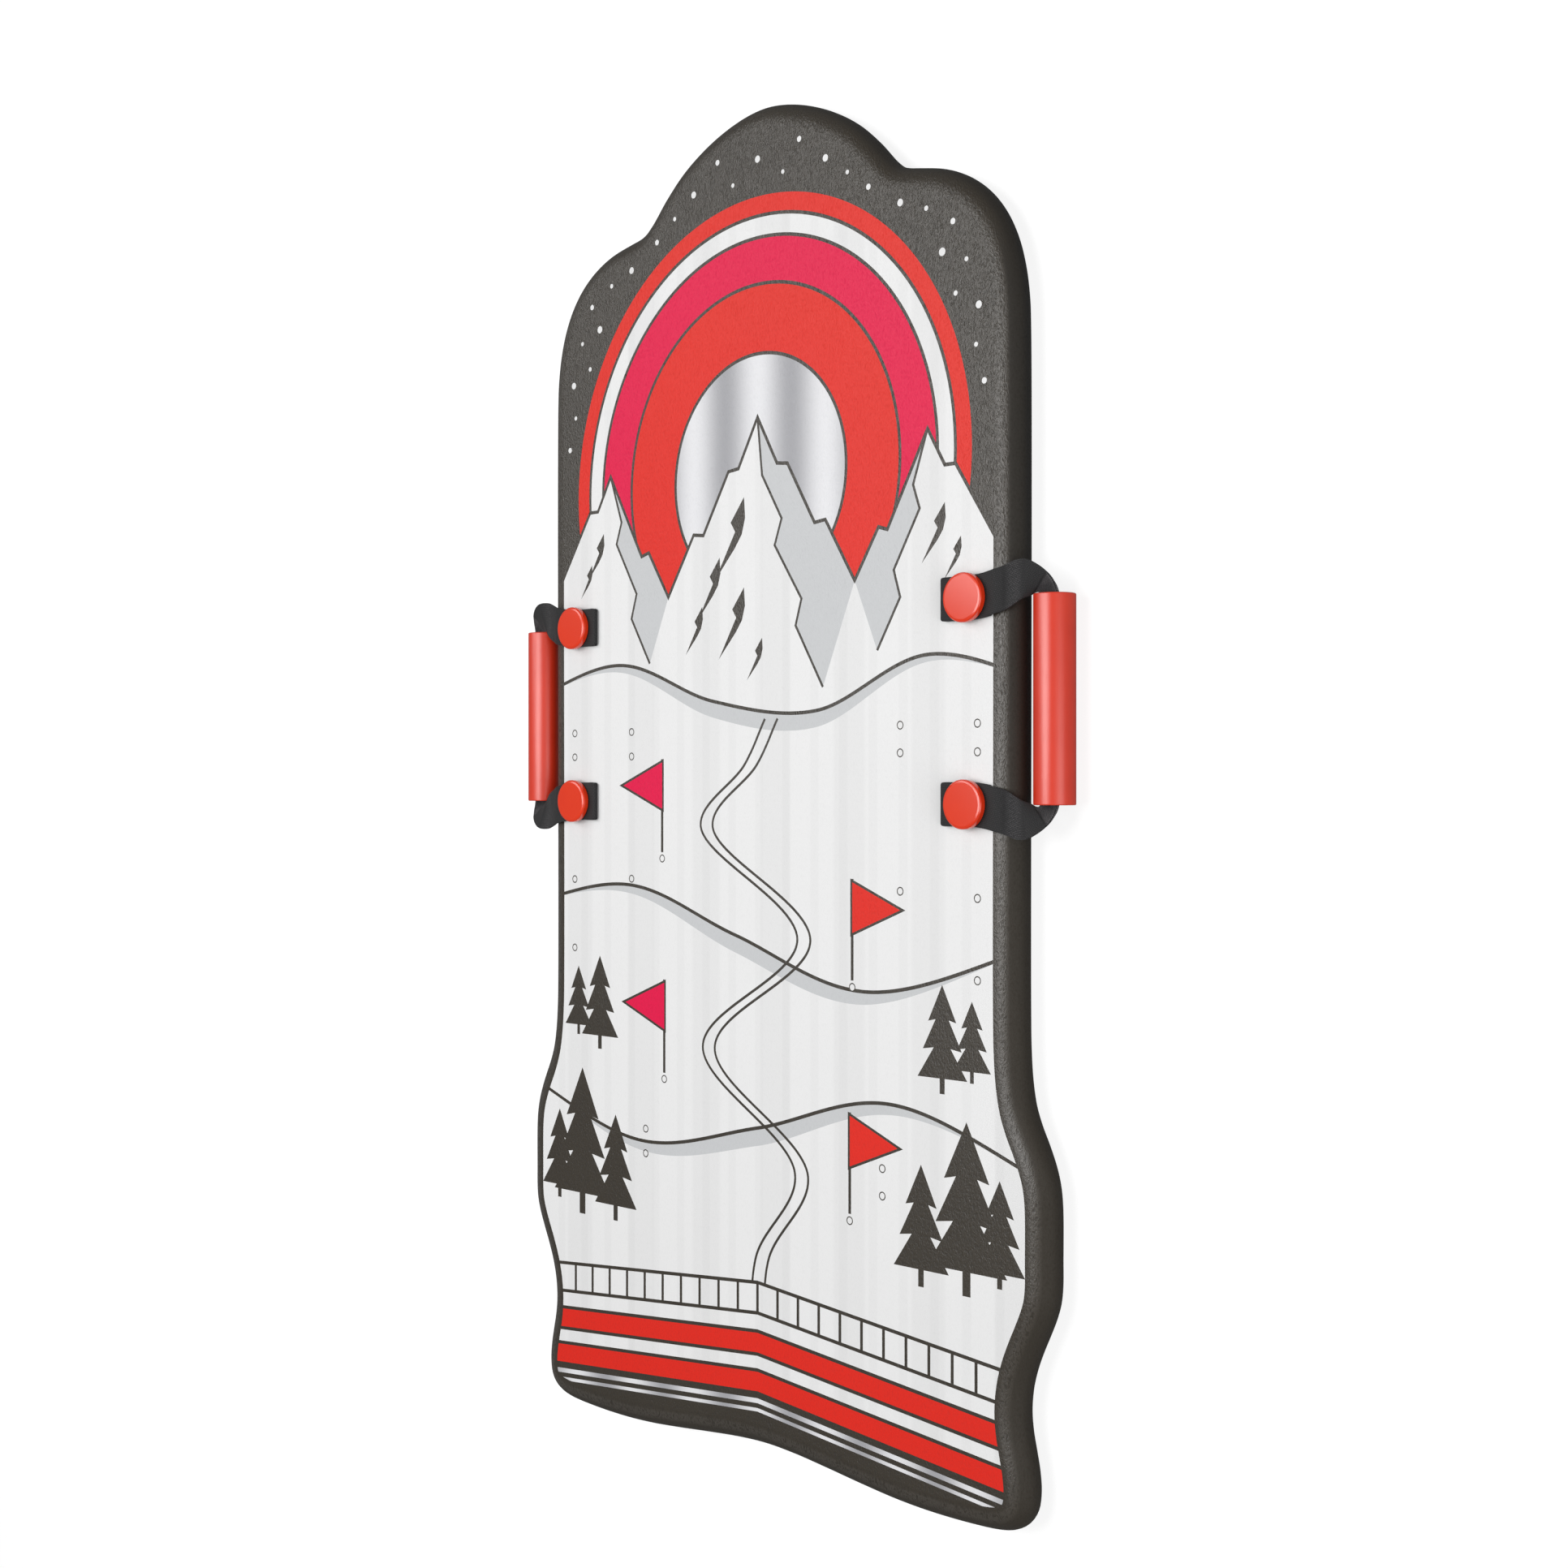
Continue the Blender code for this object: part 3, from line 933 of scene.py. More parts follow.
def filleted(corners: Sequence[Corner]) -> list[Point]:
    """A profile's points with its corners rounded.

    Args:
        corners: Each corner's point and radius, 0 to keep it sharp.

    Returns:
        The points, in order.
    """
    made = []
    places = [Vector(point) for point, _ in corners]
    for i, (point, radius) in enumerate(corners):
        here = places[i]
        if radius == 0:
            made.append(point)
            continue
        to_last = (places[i - 1] - here).normalized()
        to_next = (places[(i + 1) % len(places)] - here).normalized()
        half = to_last.angle(to_next) / 2
        centre = here + (to_last + to_next).normalized() * (radius / math.sin(half))
        start = here + to_last * (radius / math.tan(half)) - centre
        end = here + to_next * (radius / math.tan(half)) - centre
        for k in range(FILLET_STEPS + 1):
            spoke = start.lerp(end, k / FILLET_STEPS).normalized() * radius
            made.append(tuple(centre + spoke))
    return made


def turned(
    name: str,
    profile: Sequence[Point],
    centre: Vector,
    axis: str,
    material: bpy.types.Material,
) -> bpy.types.Object:
    """Make a turned piece.

    Args:
        name: The piece's name.
        profile: Its (radius, height) points, from axis to axis or in a ring clear of it.
        centre: The place of height 0.
        axis: "Z" or "Y", which the axis lies along.
        material: Its finish.

    Returns:
        The object.
    """
    draft = Draft()
    rings = []
    for radius, height in profile:
        ring = []
        for k in range(TURNED_SIDES):
            angle = math.tau * k / TURNED_SIDES
            x, y, z = radius * math.cos(angle), radius * math.sin(angle), height
            place = Vector((x, y, z) if axis == "Z" else (x, z, y))
            ring.append(draft.point(centre + place))
        rings.append(ring)
    if profile[0][0] > 0:
        rings.append(rings[0])
        draft.grid(rings)
    else:
        draft.grid(rings[1:-1])
        draft.face(rings[1])
        draft.face(rings[-2])
    return draft.finish(name, [material])


class Outline:
    """The board's plan outline at the widest part of its rail."""

    DECIMALS = 5
    LEVEL_BAND = 0.1 * MM
    NEAR_SHARE = 0.995

    def __init__(self, spacing: float) -> None:
        """Refine the foam core's outline and move it out to the skin's.

        Args:
            spacing: The greatest distance between its points.
        """
        low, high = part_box("deck_skin")
        core = frame["nodes"]["foam_core"]
        level = (low.z + high.z) / 2
        wrap = high.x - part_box("foam_core")[1].x
        ring = {
            (round(v.co.x, self.DECIMALS), round(v.co.y, self.DECIMALS))
            for v in core.data.vertices
            if abs(v.co.z - level) < self.LEVEL_BAND
        }
        ordered = [Vector(p) for p in sorted(ring, key=lambda p: math.atan2(p[1], p[0]))]
        smooth = curved(ordered, spacing, closed=True)
        self.normals = []
        for i, place in enumerate(smooth):
            ahead = (smooth[(i + 1) % len(smooth)] - smooth[i - 1]).normalized()
            self.normals.append(Vector((ahead.y, -ahead.x)))
        self.points = [p + n * wrap for p, n in zip(smooth, self.normals)]

    def inset(self, distance: float) -> list[Vector]:
        """The outline moved inwards, one point for each of its own."""
        return [p - n * distance for p, n in zip(self.points, self.normals)]

    def border(self, distance: float) -> list[Vector]:
        """The outline moved inwards, without the points that tight corners throw back.

        Args:
            distance: How far inwards.

        Returns:
            The points that are left.
        """
        near = distance * self.NEAR_SHARE
        return [
            p for p in self.inset(distance) if all((p - q).length > near for q in self.points)
        ]


@dataclass(frozen=True)
class Rock:
    """A streak of bare rock that runs down to the left, its shape in shares of its length."""

    x: float
    y: float
    length: float
    shape: tuple[Point, ...] = (
        (0.0, 0.0),
        (-0.24, -0.30),
        (-0.16, -0.42),
        (-0.52, -1.0),
        (-0.16, -0.62),
        (-0.04, -0.46),
        (0.02, -0.26),
    )

    def outline(self) -> list[Point]:
        """Its outline on the deck."""
        return [(self.x + u * self.length, self.y + v * self.length) for u, v in self.shape]


@dataclass(frozen=True)
class Flag:
    """A slalom flag that points to one side of its pole."""

    x: float
    y: float
    side: Side
    pole: float = 0.060
    top: float = 0.058
    tip: float = 0.043
    foot: float = 0.028
    reach: float = 0.038

    def ink(self) -> Ink:
        """Red if it points to the right, magenta if to the left."""
        return Ink.RED if self.side is Side.RIGHT else Ink.MAGENTA

    def outline(self) -> list[Point]:
        """The flag's three corners."""
        tip = (self.x + self.side.value * self.reach, self.y + self.tip)
        return [(self.x, self.y + self.top), tip, (self.x, self.y + self.foot)]


@dataclass(frozen=True)
class Pine:
    """A pine of stacked tiers on a short trunk, its parts in shares of its height."""

    x: float
    y: float
    height: float
    tiers: int = 3
    trunk_half: float = 0.03
    trunk_height: float = 0.14
    tier_pitch: float = 0.26
    tier_height: float = 0.28
    tier_reach: float = 0.30
    tier_taper: float = 0.065
    notch: float = 0.34

    def outline(self) -> list[Point]:
        """Its outline, up the right side and down the left.

        Returns:
            The outline's points.
        """
        right = self.x + self.trunk_half * self.height
        side = [(right, self.y), (right, self.y + self.trunk_height * self.height)]
        for tier in range(self.tiers):
            foot = self.y + (self.trunk_height + self.tier_pitch * tier) * self.height
            reach = (self.tier_reach - self.tier_taper * tier) * self.height
            neck = (self.x + reach * self.notch, foot + self.tier_height * self.height)
            side += [(self.x + reach, foot), neck]
        side[-1] = (self.x, self.y + self.height)
        return side + [(2 * self.x - x, y) for x, y in side[-2::-1]]


@dataclass
class Artwork:
    """The deck's print: a snowy range under a banded moon, with a ski run down to the tail.

    Later patches cover earlier ones. Places and sizes are in metres on the plan. The ridge's and
    the flag's share give their lines' width, in widths of the usual line. A snowflake has its place
    and radius, and a disc of the moon its radius and ink. A snow bank has its height at the left
    edge, its crest, and its height at the right edge. A row of the tail has its top, depth and ink.
    """

    outline: Outline
    fasteners: list[Vector]
    hole_radius: float
    margin: float = 14.8 * MM
    line: float = 2.2 * MM
    ridge_share: float = 0.8
    flag_share: float = 0.7
    fine_line: float = 0.7 * MM
    curve_step: float = 3 * MM
    ring_radius: float = 2.6 * MM
    ring_sides: int = 24
    flake_sides: int = 20
    moon_sides: int = 160
    hole_sides: int = 48
    edge: float = 0.24
    tail: float = -0.44
    fold_depth: float = 0.011
    track_half: float = 0.0055
    base_drop: float = 0.004
    bend: float = 0.09
    block_top: float = -0.3060
    block_depth: float = 0.0210
    block_pitch: float = 0.0175
    block_count: int = 12
    snow: tuple[Spot, ...] = (
        (0.0, 0.385, 0.0022),
        (0.022, 0.373, 0.0014),
        (0.036, 0.390, 0.0018),
        (0.058, 0.374, 0.0022),
        (0.076, 0.362, 0.0014),
        (0.093, 0.350, 0.0018),
        (0.118, 0.336, 0.0022),
        (0.138, 0.329, 0.0015),
        (0.150, 0.302, 0.0024),
        (0.158, 0.318, 0.0018),
        (0.168, 0.295, 0.0014),
        (0.160, 0.277, 0.0015),
        (0.177, 0.268, 0.0022),
        (0.175, 0.246, 0.0014),
        (0.181, 0.225, 0.0018),
    )
    moon: Point = (0.0, 0.190)
    moon_discs: tuple[tuple[float, Ink], ...] = (
        (0.1720, Ink.RED),
        (0.1610, Ink.FILM),
        (0.1588, Ink.WHITE),
        (0.1477, Ink.FILM),
        (0.1455, Ink.MAGENTA),
        (0.1190, Ink.FILM),
        (0.1168, Ink.RED),
        (0.0762, Ink.FILM),
        (0.0740, Ink.SILVER),
    )
    rocks: tuple[Rock, ...] = (
        Rock(-0.012, 0.178, 0.050),
        Rock(-0.034, 0.142, 0.038),
        Rock(-0.012, 0.122, 0.044),
        Rock(-0.050, 0.112, 0.030),
        Rock(0.004, 0.090, 0.026),
        Rock(0.152, 0.160, 0.034),
        Rock(0.164, 0.140, 0.024),
        Rock(-0.146, 0.166, 0.030),
        Rock(-0.158, 0.146, 0.022),
    )
    banks: tuple[tuple[float, tuple[Point, ...], float], ...] = (
        (0.052, ((-0.13, 0.078), (-0.04, 0.052), (0.05, 0.044), (0.14, 0.074)), 0.05),
        (-0.085, ((-0.12, -0.066), (-0.02, -0.094), (0.09, -0.122)), -0.082),
        (-0.196, ((-0.11, -0.232), (0.0, -0.212), (0.11, -0.186)), -0.222),
    )
    flags: tuple[Flag, ...] = (
        Flag(-0.088, -0.044, Side.LEFT),
        Flag(0.080, -0.116, Side.RIGHT),
        Flag(-0.086, -0.186, Side.LEFT),
        Flag(0.078, -0.254, Side.RIGHT),
    )
    pines: tuple[Pine, ...] = (
        Pine(0.168, -0.288, 0.098),
        Pine(0.134, -0.288, 0.070),
        Pine(0.192, -0.280, 0.060),
        Pine(0.150, -0.176, 0.062),
        Pine(0.172, -0.168, 0.046),
    )
    dots: tuple[Point, ...] = (
        (0.176, 0.034),
        (0.176, 0.018),
        (0.118, 0.034),
        (0.118, 0.018),
        (0.176, -0.064),
        (0.176, -0.110),
        (0.118, -0.062),
        (0.104, -0.224),
        (0.104, -0.240),
    )
    tail_rows: tuple[tuple[float, float, Ink], ...] = (
        (-0.3060, 0.0210, Ink.FILM),
        (-0.3270, 0.1200, Ink.WHITE),
        (-0.3360, 0.0022, Ink.FILM),
        (-0.3382, 0.0120, Ink.RED),
        (-0.3502, 0.0022, Ink.FILM),
        (-0.3600, 0.0022, Ink.FILM),
        (-0.3622, 0.0120, Ink.RED),
        (-0.3742, 0.0700, Ink.FILM),
        (-0.3785, 0.0030, Ink.SILVER),
        (-0.3845, 0.0022, Ink.SILVER),
    )

    def __post_init__(self) -> None:
        """Start with the bare film."""
        self.patches: list[tuple[Ink, list[Vector]]] = []

    def fill(self, ink: Ink, points: Iterable, mirrored: bool = False) -> None:
        """Cover a patch, and its mirror image if asked.

        Args:
            ink: What covers the patch.
            points: The patch's outline.
            mirrored: Whether its mirror image is covered too.
        """
        points = [Vector(p) for p in points]
        self.patches.append((ink, points))
        if mirrored:
            self.patches.append((ink, [Vector((-p.x, p.y)) for p in points]))

    def stroke(self, path: Iterable, width: float, mirrored: bool = False) -> None:
        """Draw a charcoal line along a path."""
        self.fill(Ink.FILM, band([Vector(p) for p in path], width), mirrored)

    def smooth(self, path: Iterable[Point]) -> list[Vector]:
        """A smooth curve through a path's points."""
        return curved([Vector(p) for p in path], self.curve_step)

    def ring(self, x: float, y: float, mirrored: bool = True) -> None:
        """Draw a small ring on white.

        Args:
            x: The ring's place across the board.
            y: Its place along the board.
            mirrored: Whether its mirror image is drawn too.
        """
        centre = Vector((x, y))
        for ink, radius in (
            (Ink.FILM, self.ring_radius),
            (Ink.WHITE, self.ring_radius - self.fine_line),
        ):
            self.fill(ink, circle(centre, radius, self.ring_sides), mirrored)

    def sky(self) -> None:
        """Falling snow in a charcoal sky, with a silver moon in bands of red, white and magenta."""
        for x, y, radius in self.snow:
            self.fill(Ink.WHITE, circle(Vector((x, y)), radius, self.flake_sides), mirrored=x > 0)
        for radius, ink in self.moon_discs:
            self.fill(ink, circle(Vector(self.moon), radius, self.moon_sides))

    def peaks(self) -> None:
        """White mountains with shaded flanks and streaks of bare rock."""
        # Which of the skyline's corners are the low col and the side peak
        col, side_peak = 5, 8
        right = [
            (0.0, 0.226),
            (0.017, 0.196),
            (0.026, 0.195),
            (0.049, 0.157),
            (0.058, 0.158),
            (0.082, 0.120),
            (0.101, 0.150),
            (0.108, 0.148),
            (0.139, 0.203),
            (0.152, 0.181),
            (0.160, 0.181),
            (self.edge, 0.060),
        ]
        skyline = [(-x, y) for x, y in right[:0:-1]] + right
        self.fill(Ink.WHITE, [*skyline, (self.edge, self.tail), (-self.edge, self.tail)])
        ridge = [
            right[0],
            (0.004, 0.190),
            (0.021, 0.162),
            (0.015, 0.146),
            (0.038, 0.112),
            (0.033, 0.096),
            (0.056, 0.058),
        ]
        side_ridge = [
            right[side_peak],
            (0.128, 0.172),
            (0.133, 0.158),
            (0.113, 0.124),
            (0.118, 0.108),
            (0.100, 0.078),
        ]
        self.fill(Ink.SHADE, ridge + right[col:0:-1])
        self.fill(Ink.SHADE, side_ridge + right[col:side_peak], mirrored=True)
        self.stroke(ridge, self.line * self.ridge_share)
        self.stroke(side_ridge, self.line * self.ridge_share, mirrored=True)
        for rock in self.rocks:
            self.fill(Ink.FILM, rock.outline())
        self.stroke(skyline, self.line)

    def hill(self, path: Iterable[Point]) -> None:
        """A snow bank: white below a curve, with a grey fold under its crest.

        Args:
            path: The crest's points.
        """
        crest = self.smooth(path)
        self.fill(Ink.WHITE, [*crest, (self.edge, self.tail), (-self.edge, self.tail)])
        last = len(crest) - 1
        fold = [
            Vector((p.x, p.y - self.fold_depth * math.sin(math.pi * i / last) ** 2))
            for i, p in enumerate(crest)
        ]
        self.fill(Ink.SHADE, [*crest, *fold[::-1]])
        self.stroke(crest, self.line)

    def slope(self) -> None:
        """Three snow banks, with a pair of ski tracks that winds down between flags."""
        for left, crest, right in self.banks:
            self.hill([(-self.edge, left), *crest, (self.edge, right)])
        run = [
            (0.012, 0.040),
            (-0.006, 0.012),
            (-0.046, -0.026),
            (0.040, -0.094),
            (-0.044, -0.166),
            (0.038, -0.236),
            (0.004, -0.292),
            (0.0, -0.345),
        ]
        middle = self.smooth(run)
        for shift in (-self.track_half, self.track_half):
            track = [p + Vector((shift, 0)) for p in middle]
            self.stroke(track, self.line * self.ridge_share)
        for flag in self.flags:
            self.planted(flag)

    def planted(self, flag: Flag) -> None:
        """A flag and its outline on a pole, with a ring at the pole's foot.

        Args:
            flag: The flag.
        """
        self.stroke([(flag.x, flag.y), (flag.x, flag.y + flag.pole)], self.line)
        cloth = counter_clockwise([Vector(p) for p in flag.outline()])
        self.fill(Ink.FILM, grown(cloth, self.line * self.flag_share))
        self.fill(flag.ink(), cloth)
        self.ring(flag.x, flag.y - self.base_drop, mirrored=False)

    def trees(self) -> None:
        """Pines on both flanks."""
        for pine in self.pines:
            self.fill(Ink.FILM, pine.outline(), mirrored=True)

    def rings(self) -> None:
        """Small rings beside the handles and down the flanks."""
        for x, y in self.dots:
            self.ring(x, y)

    def tail_bands(self) -> None:
        """Bands across the tail, bent up to a point: white blocks, red stripes and silver bars."""
        for top, depth, ink in self.tail_rows:
            self.fill(ink, self.bent(-self.edge, self.edge, top, depth))
        width = self.block_pitch - self.line
        top = self.block_top - self.line
        depth = self.block_depth - 2 * self.line
        for number in range(self.block_count):
            start = self.line / 2 + number * self.block_pitch
            self.fill(Ink.WHITE, self.bent(start, start + width, top, depth), mirrored=True)

    def bent(self, start: float, end: float, top: float, depth: float) -> list[Vector]:
        """A piece of a band that falls away on both sides of the middle.

        Args:
            start: Where the piece starts across the board.
            end: Where it ends.
            top: The band's upper edge at the middle of the board.
            depth: The band's size along the board.

        Returns:
            The piece's outline.
        """
        xs = [start, 0.0, end] if start < 0 < end else [start, end]
        upper = [Vector((x, top - self.bend * abs(x))) for x in xs]
        return upper + [Vector((p.x, p.y - depth)) for p in upper[::-1]]

    def hole_at(self, place: Vector) -> int | None:
        """The number of the fastener's hole that a place lies in."""
        near = [i for i, c in enumerate(self.fasteners) if (place - c).length < self.hole_radius]
        return near[0] if near else None

    def draw(self) -> tuple[list[Vector], list, list[Vector], list[list[Vector]]]:
        """Draw everything.

        Returns:
            The print's points, its triangles with their inks, its border and its holes' rims.
        """
        self.sky()
        self.peaks()
        self.slope()
        self.trees()
        self.rings()
        self.tail_bands()
        rims = [circle(place, self.hole_radius, self.hole_sides) for place in self.fasteners]
        border = self.outline.border(self.margin)
        loops = [border, *(patch for _, patch in self.patches), *rims]
        points, triangles, held = plan_triangles(loops)
        inked = []
        cut = [[] for _ in rims]
        for corners, inside in zip(triangles, held):
            if 0 not in inside:
                continue
            hole = self.hole_at(sum((points[i] for i in corners), Vector((0, 0))) / 3)
            if hole is not None:
                cut[hole].append(corners)
                continue
            top = max(inside)
            ink = self.patches[top - 1][0] if top else Ink.FILM
            inked.append((corners, ink.value))
        whole = [corners for corners, _ in inked] + [t for part in cut for t in part]
        return points, inked, rim_of(points, whole), [rim_of(points, part) for part in cut]


@dataclass
class Board:
    """The foam board: its printed film, the core inside and the hard sheet that it runs on."""

    spacing: float = 3 * MM
    film: float = 1.5 * MM
    lip: float = 3 * MM
    shoulder: float = 14.4 * MM
    hole_radius: float = 5.3 * MM
    plug_hole_radius: float = 13.3 * MM
    plug_hole_sides: int = 72
    rail_steps: int = 28
    sheet_round: float = 0.8 * MM
    sheet_steps: int = 6

    def __post_init__(self) -> None:
        """Read the board's sizes from the frame."""
        low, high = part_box("deck_skin")
        self.deck = high.z
        self.foot = low.z
        self.rail = (high.z - low.z) / 2
        self.outline = Outline(self.spacing)

    def fasteners(self) -> list[Vector]:
        """The plan places of the four fasteners.

        Returns:
            Their places: the right side first, and the front before the rear.
        """
        places = []
        for side in Side:
            for end in End:
                low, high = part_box(f"button_{end.word}_{side.word}")
                places.append(((low + high) / 2).xy)
        return places

    def rail_arc(self, radius: float, top: float, start: float, end: float) -> list[Point]:
        """Trace the rail.

        Args:
            radius: The arc's radius at and below the rail's widest part.
            top: How far in the arc above that part goes.
            start: The first angle above level, in degrees.
            end: The last angle above level.

        Returns:
            (inset, height) pairs.
        """
        pairs = []
        for step in range(self.rail_steps + 1):
            angle = math.radians(start + (end - start) * step / self.rail_steps)
            height = (self.deck + self.foot) / 2 + radius * math.sin(angle)
            wide = top if angle > 0 else radius
            pairs.append((self.rail - radius + wide * (1 - math.cos(angle)), height))
        return pairs

    def rings(self, draft: Draft, profile: Iterable[Point]) -> list[list[Vert]]:
        """Rings of vertices round the board, one for each (inset, height).

        Args:
            draft: The mesh in the making.
            profile: The (inset, height) pairs.

        Returns:
            The rings.
        """
        return [
            [draft.point((p.x, p.y, height)) for p in self.outline.inset(inset)]
            for inset, height in profile
        ]

    def pierced(self, draft: Draft, inset: float, height: float, holes: Sequence) -> None:
        """Add a flat face of the board's plan with holes through it.

        Args:
            draft: The mesh in the making.
            inset: How far its edge lies inside the outline.
            height: Its height.
            holes: The loops that are cut out.
        """
        points, triangles, held = plan_triangles([self.outline.inset(inset), *holes])
        kept = [(list(t), 0) for t, loops in zip(triangles, held) if list(loops) == [0]]
        draft.plan(points, kept, height)

    def walls(self, draft: Draft, holes: Sequence, low: float, high: float) -> None:
        """Add the walls of round holes."""
        for hole in holes:
            draft.grid([[draft.point((p.x, p.y, z)) for p in hole] for z in (low, high)])

    def printed_film(self) -> bpy.types.Object:
        """The film: deck, rail and the lip wrapped under, with the print on the deck.

        Returns:
            The film.
        """
        draft = Draft()
        art = Artwork(self.outline, self.fasteners(), self.hole_radius)
        points, shown, border, holes = art.draw()
        draft.plan(points, shown, self.deck)
        self.pierced(draft, self.shoulder, self.deck, [border])
        lip = self.rail + self.lip
        inner = self.rail - self.film
        profile = self.rail_arc(self.rail, self.shoulder, 90, -90)
        profile += [(lip, self.foot), (lip, self.foot + self.film)]
        profile += self.rail_arc(inner, inner, -90, 90)
        draft.grid(self.rings(draft, profile))
        self.pierced(draft, self.rail, self.deck - self.film, holes)
        self.walls(draft, holes, self.deck - self.film, self.deck)
        film = draft.finish("printed_film", [INKS[ink].material() for ink in Ink])
        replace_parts(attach(film, "board"), "deck_skin")
        return film

    def running_sheet(self) -> bpy.types.Object:
        """The hard sheet under the foam, with rounded edges and round holes for the plugs.

        Returns:
            The sheet.
        """
        low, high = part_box("slick_bottom")
        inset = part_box("deck_skin")[1].x - high.x
        draft = Draft()
        radius, sides = self.plug_hole_radius, self.plug_hole_sides
        holes = [circle(place, radius, sides) for place in self.fasteners()]
        profile = [(inset, high.z)]
        for step in range(self.sheet_steps + 1):
            angle = math.pi / 2 * step / self.sheet_steps
            drop = self.sheet_round * (1 - math.sin(angle))
            profile.append((inset + self.sheet_round * (1 - math.cos(angle)), low.z + drop))
        draft.grid(self.rings(draft, profile))
        self.pierced(draft, inset, high.z, holes)
        self.pierced(draft, inset + self.sheet_round, low.z, holes)
        self.walls(draft, holes, low.z, high.z)
        sheet = draft.finish("running_sheet", [SLICK_PLASTIC.material()])
        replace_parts(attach(sheet, "board"), "slick_bottom")
        return sheet

    def core(self) -> bpy.types.Object:
        """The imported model's foam core, with its finish.

        Returns:
            The core.
        """
        core = frame["nodes"]["foam_core"]
        core.data.materials.clear()
        core.data.materials.append(CORE_FOAM.material())
        return core

    def build(self) -> list[bpy.types.Object]:
        """Make the board's pieces and finish the core."""
        return [self.printed_film(), self.running_sheet(), self.core()]


@dataclass(frozen=True)
class Section:
    """A cut through a strap: its middle, the way across it, its outer side and its curl.

    A curl below 0 lifts the edges, and its radius is below 0 too. The trim is how far each edge
    is cut back.
    """

    centre: Vector
    across: Vector
    out: Vector
    curl: float = 0.0
    radius: float = 0.0
    trim: float = 0.0


